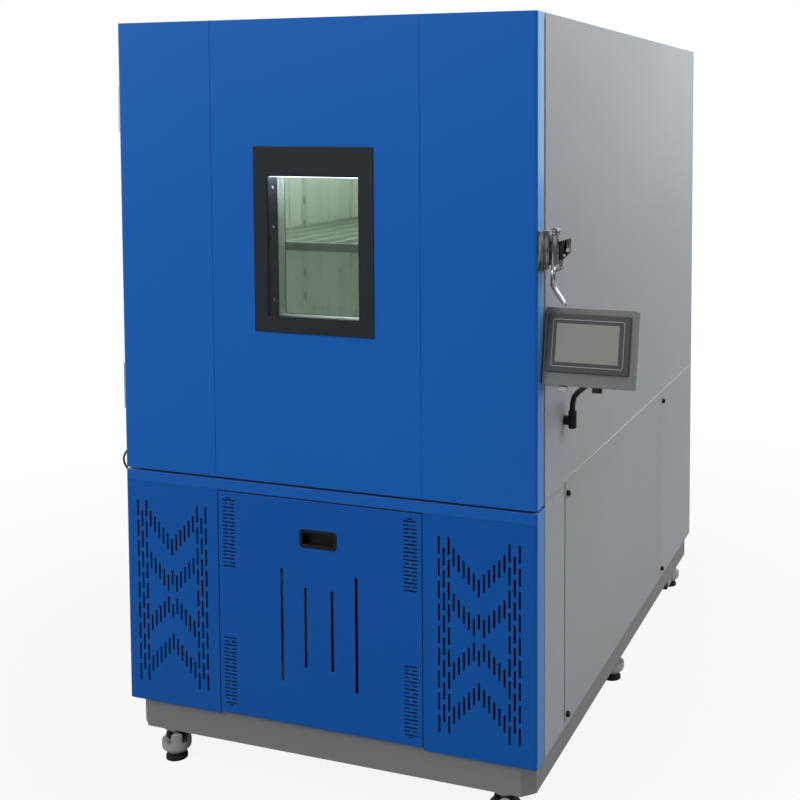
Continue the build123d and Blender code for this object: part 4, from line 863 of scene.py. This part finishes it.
@dataclass
class Window(Assembly):
    """Window frame, panes, lamp and the small parts of the reveal."""

    finishes = {"window_frame": "window_paint", "window_glass": "glass", "window_lamp": "lamp"}
    left: float = -136.0
    right: float = 120.0
    bottom: float = 1237.0
    top: float = 1593.5
    margin: float = 8.0
    corner: float = 2.5
    tunnel_front: float = 10.5
    trim_front: float = 64.0
    tunnel_rear: float = 96.0
    bead: float = 3.2
    inner_bead: float = 4.5
    sleeve: float = 1.2
    trim: tuple[float, float] = (1.5, 3.5)
    trim_edge: tuple[float, float] = (4.0, 6.0)
    diffuser_inset: float = 2.0
    diffuser_y: tuple[float, float] = (11.0, 24.0)
    diffuser_z: tuple[float, float] = (-4.5, 5.0)
    diffuser_bevel: float = 0.8
    screw: tuple[float, float] = (4.0, 2.2)
    screw_y: float = 40.0
    screw_rows: tuple[float, ...] = (1275.0, 1460.0, 1560.0)

    def carry(
        self, name: str, profile: list[tuple[float, float]], grow: float, y: float, slot: str,
        smooth: bool = True, finish: Finish | None = None,
    ) -> None:
        """Makes a piece from a profile that is carried round the clear opening.

        Args:
            name: Name of the piece.
            profile: Sideways and forward distances of its corners.
            grow: Distance from the clear opening to the path.
            y: Depth of the path.
            slot: Material slot of the piece.
            smooth: Whether its faces are shaded smooth.
            finish: Finish of its own, where it differs from the slot's.
        """
        path, side = rounded_rectangle(
            self.left - grow, self.right + grow, self.bottom - grow, self.top + grow,
            self.corner, y,
        )
        make_piece(name, carried(profile, path, side), slot, "main_door", smooth, finish)

    def build(self) -> None:
        """Beads of both panes, sleeve, trim and screws of the reveal, and the lamp's diffuser."""
        b, inner, wall = self.bead, self.inner_bead, self.sleeve
        bead = [(0.0, 0.0), (-b, 0.1), (-b * 0.85, b * 0.45), (-b * 0.4, b * 0.7), (0.0, b * 0.75)]
        self.carry("pane_bead", bead, 0.0, 0.0, "rubber")
        bead = [(0.0, 0.0), (-inner, 0.0), (-inner, 0.8), (0.0, 0.9)]
        self.carry("inner_pane_bead", bead, self.margin, self.tunnel_rear, "rubber")
        depth = self.trim_front - self.tunnel_front
        sleeve = [(0.0, 0.0), (-wall, 0.0), (-wall, -depth), (0.0, -depth)]
        self.carry(
            "reveal_sleeve", sleeve, self.margin, self.tunnel_front, "window_paint", False,
            REVEAL_FINISH,
        )
        depth = self.tunnel_rear - self.trim_front
        (web, lip), (flat, step) = self.trim, self.trim_edge
        trim = [
            (0.0, 0.0), (-lip, 0.0), (-lip, -flat), (-web, -step), (-web, step - depth),
            (-lip, flat - depth), (-lip, -depth), (0.0, -depth),
        ]
        self.carry("reveal_trim", trim, self.margin, self.trim_front, "stainless", False)
        (y0, y1), (z0, z1) = self.diffuser_y, self.diffuser_z
        strip = plate(
            (self.left + self.diffuser_inset, y0, self.top + z0),
            (self.right - self.diffuser_inset, y1, self.top + z1), self.diffuser_bevel,
        )
        make_piece("lamp_diffuser", strip, "lamp", "main_door", False)
        left, right = self.left - self.margin + wall, self.right + self.margin - wall
        heads = [
            screws(*self.screw, [(x, self.screw_y, z) for z in self.screw_rows], (way, 0, 0), 16)
            for x, way in ((left, 1), (right, -1))
        ]
        make_piece("reveal_screws", merged(heads), "chrome", "main_door")


@dataclass
class Workspace(Assembly):
    """Stainless inner box, its shelf, air duct and the fan behind it."""

    finishes = {
        "insulation": "foam", "evaporator": "aluminium", "fan_motor": "machine_black",
        "fan_impeller": "aluminium", "liner": LINER_FINISH, "duct_panel": LINER_FINISH,
        "shelf": SHELF_FINISH,
    }
    half_width: float = 424.8
    bottom: float = 914.0
    top: float = 1864.0
    gap: float = 30.0
    depth: float = 683.0
    width: float = 34.0
    stile: float = 12.0
    thick: float = 3.0
    slot: float = 26.0
    slot_back: float = 0.8
    pitch: float = 75.0
    bevels: tuple[float, float, float] = (0.6, 0.4, 0.2)

    def build(self) -> None:
        """Slotted uprights on both side walls, each two stiles with rungs between the slots, and a
        thin black plate behind each slot as painted shade in the hole.
        """
        low, high = self.bottom + self.gap, self.top - self.gap
        slots = np.arange(low + self.pitch, high - self.slot, self.pitch)
        edges = np.concatenate([[low], np.ravel(np.stack([slots, slots + self.slot], 1)), [high]])
        y0, y1 = self.depth + self.stile, self.depth + self.width - self.stile
        of_stile, of_rung, of_slot = self.bevels
        for sign, side in ((-1, "left"), (1, "right")):
            wall = sign * self.half_width
            x0, x1 = sorted((wall, wall - sign * self.thick))
            bars = [
                plate((x0, y, low), (x1, y + self.stile, high), of_stile)
                for y in (self.depth, self.depth + self.width - self.stile)
            ]
            for z0, z1 in zip(edges[::2], edges[1::2]):
                bars.append(plate((x0, y0, z0), (x1, y1, z1), of_rung))
            make_piece(f"shelf_upright_{side}", merged(bars), "stainless", "cabinet", False)
            # Painted shade: thin black plates against the wall behind each slot, where the holes
            # would be dark
            x0, x1 = sorted((wall, wall - sign * self.slot_back))
            dark = merged([plate((x0, y0, z), (x1, y1, z + self.slot), of_slot) for z in slots])
            make_piece(f"upright_slot_shade_{side}", dark, "black_plastic", "cabinet", False)


@dataclass
class MachineBay(Assembly):
    """Water tank, compressor and condenser behind the lower panels."""

    finishes = {
        "water_tank": "tank_plastic", "compressor": "machine_black",
        "condenser": "aluminium", "condenser_fan": "machine_black",
    }
    tank_neck: tuple[float, float, float] = (-160.0, 200.0, 544.0)
    cap_grips: int = 16
    grip_depth: float = 0.03

    def build(self) -> None:
        """Screw cap of the tank, with grip lobes round its skirt."""
        profile = [
            (0.01, 16.0), (20.0, 16.0), (25.0, 14.5), (27.0, 11.0), (27.0, 0.5), (24.2, 0.5)
        ]
        grips = self.cap_grips
        shape = turned(profile, [self.tank_neck], (0, 0, 1), 6 * grips, grips, self.grip_depth)
        make_piece("tank_cap", shape, "black_plastic", "cabinet")


@dataclass
class Hinges(Assembly):
    """Two door hinges with domed screws and pin ends."""

    finishes = {"hinge_leaves": "bright_steel", "hinge_knuckles": "bright_steel"}
    half_width: float = 575.0
    axis_out: float = 17.0
    axis_y: float = 56.0
    leaf: float = 4.0
    heights: tuple[float, float] = (1030.0, 1760.0)
    height: float = 120.0
    spread: float = 40.0
    screw_y: tuple[float, float] = (18.0, 98.0)
    screw: tuple[float, float] = (5.5, 2.4)
    dome: tuple[float, float] = (10.0, 4.0)

    def build(self) -> None:
        """Leaf screws on both sides of each hinge and a dome on each end of the pins."""
        face = -self.half_width - self.leaf
        heights = [z + step for z in self.heights for step in (-self.spread, 0, self.spread)]
        for side, body, y in zip(("door", "cabinet"), ("main_door", "cabinet"), self.screw_y):
            shape = screws(*self.screw, [(face, y, z) for z in heights], (-1, 0, 0))
            make_piece(f"hinge_{side}_screws", shape, "bright_steel", body)
        angle = np.linspace(0, np.pi / 2, 7)
        radius, rise = self.dome
        dome = np.stack([radius * np.sin(angle) + 0.01, rise * np.cos(angle)], 1)
        x, half = -self.half_width - self.axis_out, self.height / 2
        ends = [
            turned(dome, [(x, self.axis_y, z + way * half) for z in self.heights], (0, 0, way))
            for way in (1, -1)
        ]
        make_piece("hinge_pin_domes", merged(ends), "chrome", "cabinet")


@dataclass
class Latch(Assembly):
    """Chrome lever latch on the door's side, and its strike on the cabinet."""

    finishes = {
        "latch_base": LATCH_DARK, "latch_body": "chrome", "latch_lever": "chrome",
        "latch_strike": "chrome",
    }
    strike_foot: float = 579.0
    strike_y: float = 96.0
    strike_heights: tuple[float, float] = (1408.0, 1437.0)
    strike_screw: tuple[float, float] = (5.0, 2.4)
    pivot: tuple[float, float, float] = (611.0, 25.0, 1473.0)
    path: tuple[tuple[float, float], ...] = (
        (-4.0, 80.0), (-6.5, 127.0), (19.0, 161.0), (25.5, 173.0),
    )
    rounds: int = 3
    half_thick: float = 4.9
    half_wide: float = 8.3
    power: float = 0.7
    swell: float = 0.12
    end_share: float = 0.8

    def build(self) -> None:
        """Two screws on the strike's foot, and the lever's grip."""
        places = [(self.strike_foot, self.strike_y, z) for z in self.strike_heights]
        shape = screws(*self.strike_screw, places, (1, 0, 0))
        make_piece("strike_screws", shape, "chrome", "cabinet")
        make_piece("lever_grip", self.grip(), "chrome", "lever")

    def grip(self) -> Mesh:
        """Rounded casting round the lower part of the lever.

        The middle line is the lever's bent path with its corners cut three times at a quarter
        of each run. Its section is a superellipse, a |cos t| ** 0.7 across the bend and
        b |sin t| ** 0.7 along the pivot, which swells in the middle and closes at both ends.

        Returns:
            The closed casting.
        """
        x, y, z = self.pivot
        line = np.array([(x + out, y, z - drop) for out, drop in self.path])
        for _ in range(self.rounds):
            near, far = line[:-1] * 0.75 + line[1:] * 0.25, line[:-1] * 0.25 + line[1:] * 0.75
            cut = np.stack([near, far], 1).reshape(-1, 3)
            line = np.vstack([line[:1], cut[1:-1], line[-1:]])
        ahead = np.gradient(line, axis=0)
        ahead /= np.linalg.norm(ahead, axis=1)[:, None]
        across = np.cross(ahead, (0.0, 1.0, 0.0))
        turn = np.linspace(0, 2 * np.pi, 20, endpoint=False)
        a = np.sign(np.cos(turn)) * np.abs(np.cos(turn)) ** self.power * self.half_thick
        b = np.sign(np.sin(turn)) * np.abs(np.sin(turn)) ** self.power * self.half_wide
        size = 1.0 + self.swell * np.sin(np.pi * np.linspace(0, 1, len(line)))
        rows = [(line[0], across[0], 0.01), (line[0], across[0], self.end_share)]
        rows += list(zip(line[1:-1], across[1:-1], size[1:-1]))
        rows += [(line[-1], across[-1], self.end_share), (line[-1], across[-1], 0.01)]
        points = np.array(
            [
                middle + share * (a[:, None] * side + b[:, None] * np.array([0.0, 1.0, 0.0]))
                for middle, side, share in rows
            ]
        )
        return grid_mesh(points, False, True)


@dataclass
class Controller(Assembly):
    """Touch controller on its tilted box, with its bezel line, bracket and wiring."""

    finishes = {
        "hmi_box": "hmi_paint", "hmi_bezel": "bezel_plastic", "hmi_screen": "screen",
        "hmi_bracket": "bright_steel", "hmi_conduit": "black_plastic",
        "cable_glands": "black_plastic", "door_cable": "rubber",
    }
    origin: tuple[float, float, float] = (579.0, 22.0, 1113.0)
    tilt: float = 12.0
    bezel: tuple[float, float, float] = (7.2, 31.0, 6.0)
    size: tuple[float, float] = (200.0, 136.5)
    line: float = 2.0
    line_inset: float = 14.0
    line_corner: float = 5.0
    line_rise: tuple[float, float] = (-0.2, 0.25)
    foot: tuple[tuple[float, float, float], ...] = ((612.0, 42.0, 1093.0), (634.0, 52.0, 1107.0))
    foot_bevel: float = 1.5

    def on_face(self, points: np.ndarray) -> np.ndarray:
        """Places given as right, up and out of the tilted face, in the building frame."""
        angle = np.radians(self.tilt)
        right = np.array([1.0, 0.0, 0.0])
        up = np.array([0.0, np.sin(angle), np.cos(angle)])
        out = np.array([0.0, -np.cos(angle), np.sin(angle)])
        axes = np.stack([right, up, out])
        return np.asarray(points, float) @ axes + np.array(self.origin)

    def build(self) -> None:
        """Thin light line round the screen, moulded into the bezel's face, and a bracket foot."""
        x, y, thick = self.bezel
        inset = self.line_inset
        path, side = rounded_rectangle(
            x + inset, x + self.size[0] - inset, y + inset, y + self.size[1] - inset,
            self.line_corner,
        )
        h, (foot, crest) = self.line, self.line_rise
        profile = np.array([(-h / 2, foot), (h / 2, foot), (h / 3, crest), (-h / 3, crest)])
        points = path[:, None, [0, 2]] + profile[None, :, 0, None] * side[:, None, [0, 2]]
        rise = np.broadcast_to(profile[None, :, 1] + thick, points.shape[:2])
        face = np.dstack([points, rise[..., None]])
        shape = grid_mesh(self.on_face(face.reshape(-1, 3)).reshape(*face.shape), True, True)
        shape.faces = shape.faces[:, ::-1]
        make_piece("bezel_line", shape, "hmi_paint", "cabinet", finish=TRIM_FINISH)
        make_piece(
            "bracket_foot", plate(*self.foot, self.foot_bevel), "bright_steel", "cabinet", False
        )


class ServiceCover(Assembly):
    """Pull-off panel of the lower front and its recessed black pull."""

    finishes = {"service_panel": SHADED_PANEL_FINISH, "service_pull": "black_plastic"}


@dataclass
class Casters(Assembly):
    """Six levelling casters: casting, wheel, pad and the toothed adjuster in its window."""

    finishes = {
        f"caster_{number}_{part}": finish
        for number in range(1, CASTERS + 1)
        for part, finish in (
            ("housing", "caster_metal"), ("wheel", "wheel_plastic"), ("pad", "rubber")
        )
    }
    ring_radius: float = 27.0
    ring_low: float = 60.0
    ring_height: float = 12.0
    bevel: float = 2.0
    bore: float = 15.0
    teeth: int = 18
    tooth_depth: float = 0.035

    def build(self) -> None:
        """Toothed adjuster ring inside each housing's windows."""
        r, h, bore, bevel = self.ring_radius, self.ring_height, self.bore, self.bevel
        profile = [
            (bore, 0.0), (bore, h), (r - bevel, h), (r, h - bevel), (r, bevel), (r - bevel, 0.0),
            (bore, 0.0),
        ]
        for number in range(1, CASTERS + 1):
            low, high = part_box(f"caster_{number}_pad")
            middle = ((np.array(low) + np.array(high)) / 2 - ORIGIN) / MILLIMETRE
            place = (middle[0], middle[1], self.ring_low)
            shape = turned(
                profile, [place], (0, 0, 1), 4 * self.teeth, self.teeth, self.tooth_depth
            )
            body = f"caster_{number}_housing_body"
            make_piece(f"caster_{number}_adjuster", shape, "black_plastic", body)


@dataclass(frozen=True)
class Lamp:
    """Rectangular soft lamp aimed at a target, with both places in the building frame."""

    name: str
    place: tuple[float, float, float]
    target: tuple[float, float, float]
    size: tuple[float, float]
    watts: float
    colour: tuple[float, float, float] = (1.0, 1.0, 1.0)

    def build(self) -> None:
        """Puts the lamp in the scene."""
        data = bpy.data.lights.new(self.name, "AREA")
        data.shape = "RECTANGLE"
        data.size, data.size_y = self.size
        data.energy = self.watts
        data.color = self.colour
        lamp = new_object(self.name, data)
        start, end = Vector(at(self.place)), Vector(at(self.target))
        lamp.location = start
        lamp.rotation_euler = (end - start).to_track_quat("-Z", "Y").to_euler()


LAMPS = (
    Lamp("front_softbox", (-2200, -4200, 3900), (0, 0, 1300), (2.6, 2.6), 130),
    Lamp("side_softbox", (3200, 1500, 3700), (575, 1300, 1700), (2.2, 2.2), 48),
    Lamp("top_softbox", (600, -600, 5200), (0, 600, 0), (4.0, 4.0), 90),
    Lamp(
        "workspace_glow", (60, 420, 1850), (-425, 800, 1400), (0.7, 0.4), 19, (0.94, 1.0, 0.93)
    ),
    Lamp(
        "workspace_fill", (300, 300, 960), (-425, 800, 1150), (0.4, 0.2), 1.3, (0.95, 1.0, 0.9)
    ),
    Lamp(
        "reveal_glow", (-118, 30, 1590), (-146, 40, 1470), (0.05, 0.02), 0.4, (0.86, 0.9, 1.0)
    ),
    Lamp(
        "rear_softbox", (2300, 2500, 2900), (575, 1750, 1850), (1.2, 1.2), 42, (0.9, 0.97, 1.0)
    ),
)


@dataclass
class Studio:
    """Camera, pale floor, white surroundings and the soft lamps."""

    position: tuple[float, float, float] = (1.40219, -3.56887, 1.72653)
    yaw: float = -0.3385
    pitch: float = -0.0642
    lens: float = 55.16
    shift: tuple[float, float] = (-0.1489, -0.2496)
    sensor: float = 36.0
    floor_half: float = 30.0
    floor_tones: tuple[float, float] = (0.5, 0.53)
    floor_fade: tuple[float, float, float, float] = (1.2, 3.2, 0.9, 1.0)
    surround: float = 0.42

    def camera(self) -> None:
        """Camera at the photograph's viewing angle."""
        data = bpy.data.cameras.new("camera")
        data.lens = self.lens
        data.sensor_width = self.sensor
        data.shift_x, data.shift_y = self.shift
        camera = new_object("camera", data)
        camera.location = self.position
        camera.rotation_euler = (np.pi / 2 + self.pitch, 0.0, -self.yaw)
        bpy.context.scene.camera = camera

    def floor(self) -> None:
        """Wide pale floor that shows the object's shadow softly and fades to white far off."""
        size = self.floor_half
        mesh = bpy.data.meshes.new("studio_floor")
        corners = [(-size, -size, 0), (size, -size, 0), (size, size, 0), (-size, size, 0)]
        mesh.from_pydata(corners, [], [(0, 1, 2, 3)])
        floor = new_object("studio_floor", mesh)
        material, tree, shader = new_material("studio_floor")
        where = own_place(tree)
        speck = noise(tree, 3.0, 2.0, where)
        dark, light = ((tone, tone, tone, 1) for tone in self.floor_tones)
        shown = blend_colours(tree, speck.outputs["Fac"], dark, light)
        tree.links.new(shown, shader.inputs["Base Color"])
        preset(shader, {"Roughness": 0.9, "Specular IOR Level": 0.0})
        glow = tree.nodes.new("ShaderNodeEmission")
        path = tree.nodes.new("ShaderNodeLightPath")
        mix = tree.nodes.new("ShaderNodeMixShader")
        away = tree.nodes.new("ShaderNodeVectorMath")
        away.operation = "LENGTH"
        tree.links.new(where, away.inputs[0])
        far = map_range(tree, away.outputs["Value"], self.floor_fade)
        share = calculate(tree, "MULTIPLY", path.outputs["Is Camera Ray"], far)
        tree.links.new(share, mix.inputs[0])
        tree.links.new(shader.outputs[0], mix.inputs[1])
        tree.links.new(glow.outputs[0], mix.inputs[2])
        tree.links.new(mix.outputs[0], tree.nodes["Material Output"].inputs["Surface"])
        mesh.materials.append(material)

    def world(self) -> None:
        """White to the camera and in reflections, dimmer as light on matt surfaces."""
        world = bpy.data.worlds.new("studio")
        bpy.context.scene.world = world
        world.use_nodes = True
        tree = world.node_tree
        light, white = tree.nodes["Background"], tree.nodes.new("ShaderNodeBackground")
        for node, strength in ((light, self.surround), (white, 1.0)):
            preset(node, {"Color": (1, 1, 1, 1), "Strength": strength})
        rays = tree.nodes.new("ShaderNodeLightPath").outputs
        seen = calculate(tree, "MAXIMUM", rays["Is Camera Ray"], rays["Is Glossy Ray"])
        seen = calculate(tree, "MAXIMUM", seen, rays["Is Transmission Ray"])
        mix = tree.nodes.new("ShaderNodeMixShader")
        tree.links.new(seen, mix.inputs[0])
        tree.links.new(light.outputs[0], mix.inputs[1])
        tree.links.new(white.outputs[0], mix.inputs[2])
        tree.links.new(mix.outputs[0], tree.nodes["World Output"].inputs["Surface"])

    def build(self) -> None:
        """Camera, floor, surroundings and lamps."""
        self.camera()
        self.floor()
        self.world()
        for lamp in LAMPS:
            lamp.build()


def main() -> None:
    """Builds every sub-assembly in order."""
    logging.basicConfig(level=logging.INFO, format="%(message)s")
    bpy.context.scene.view_settings.view_transform = "Standard"
    Studio().build()
    for assembly in (
        CabinetShell(), MainDoor(), Window(), Workspace(), MachineBay(), Hinges(), Latch(),
        Controller(), ServiceCover(), Casters(),
    ):
        assembly.dress()
        assembly.build()
        log.info("%s is finished", type(assembly).__name__)


if __name__ == "__main__":
    main()
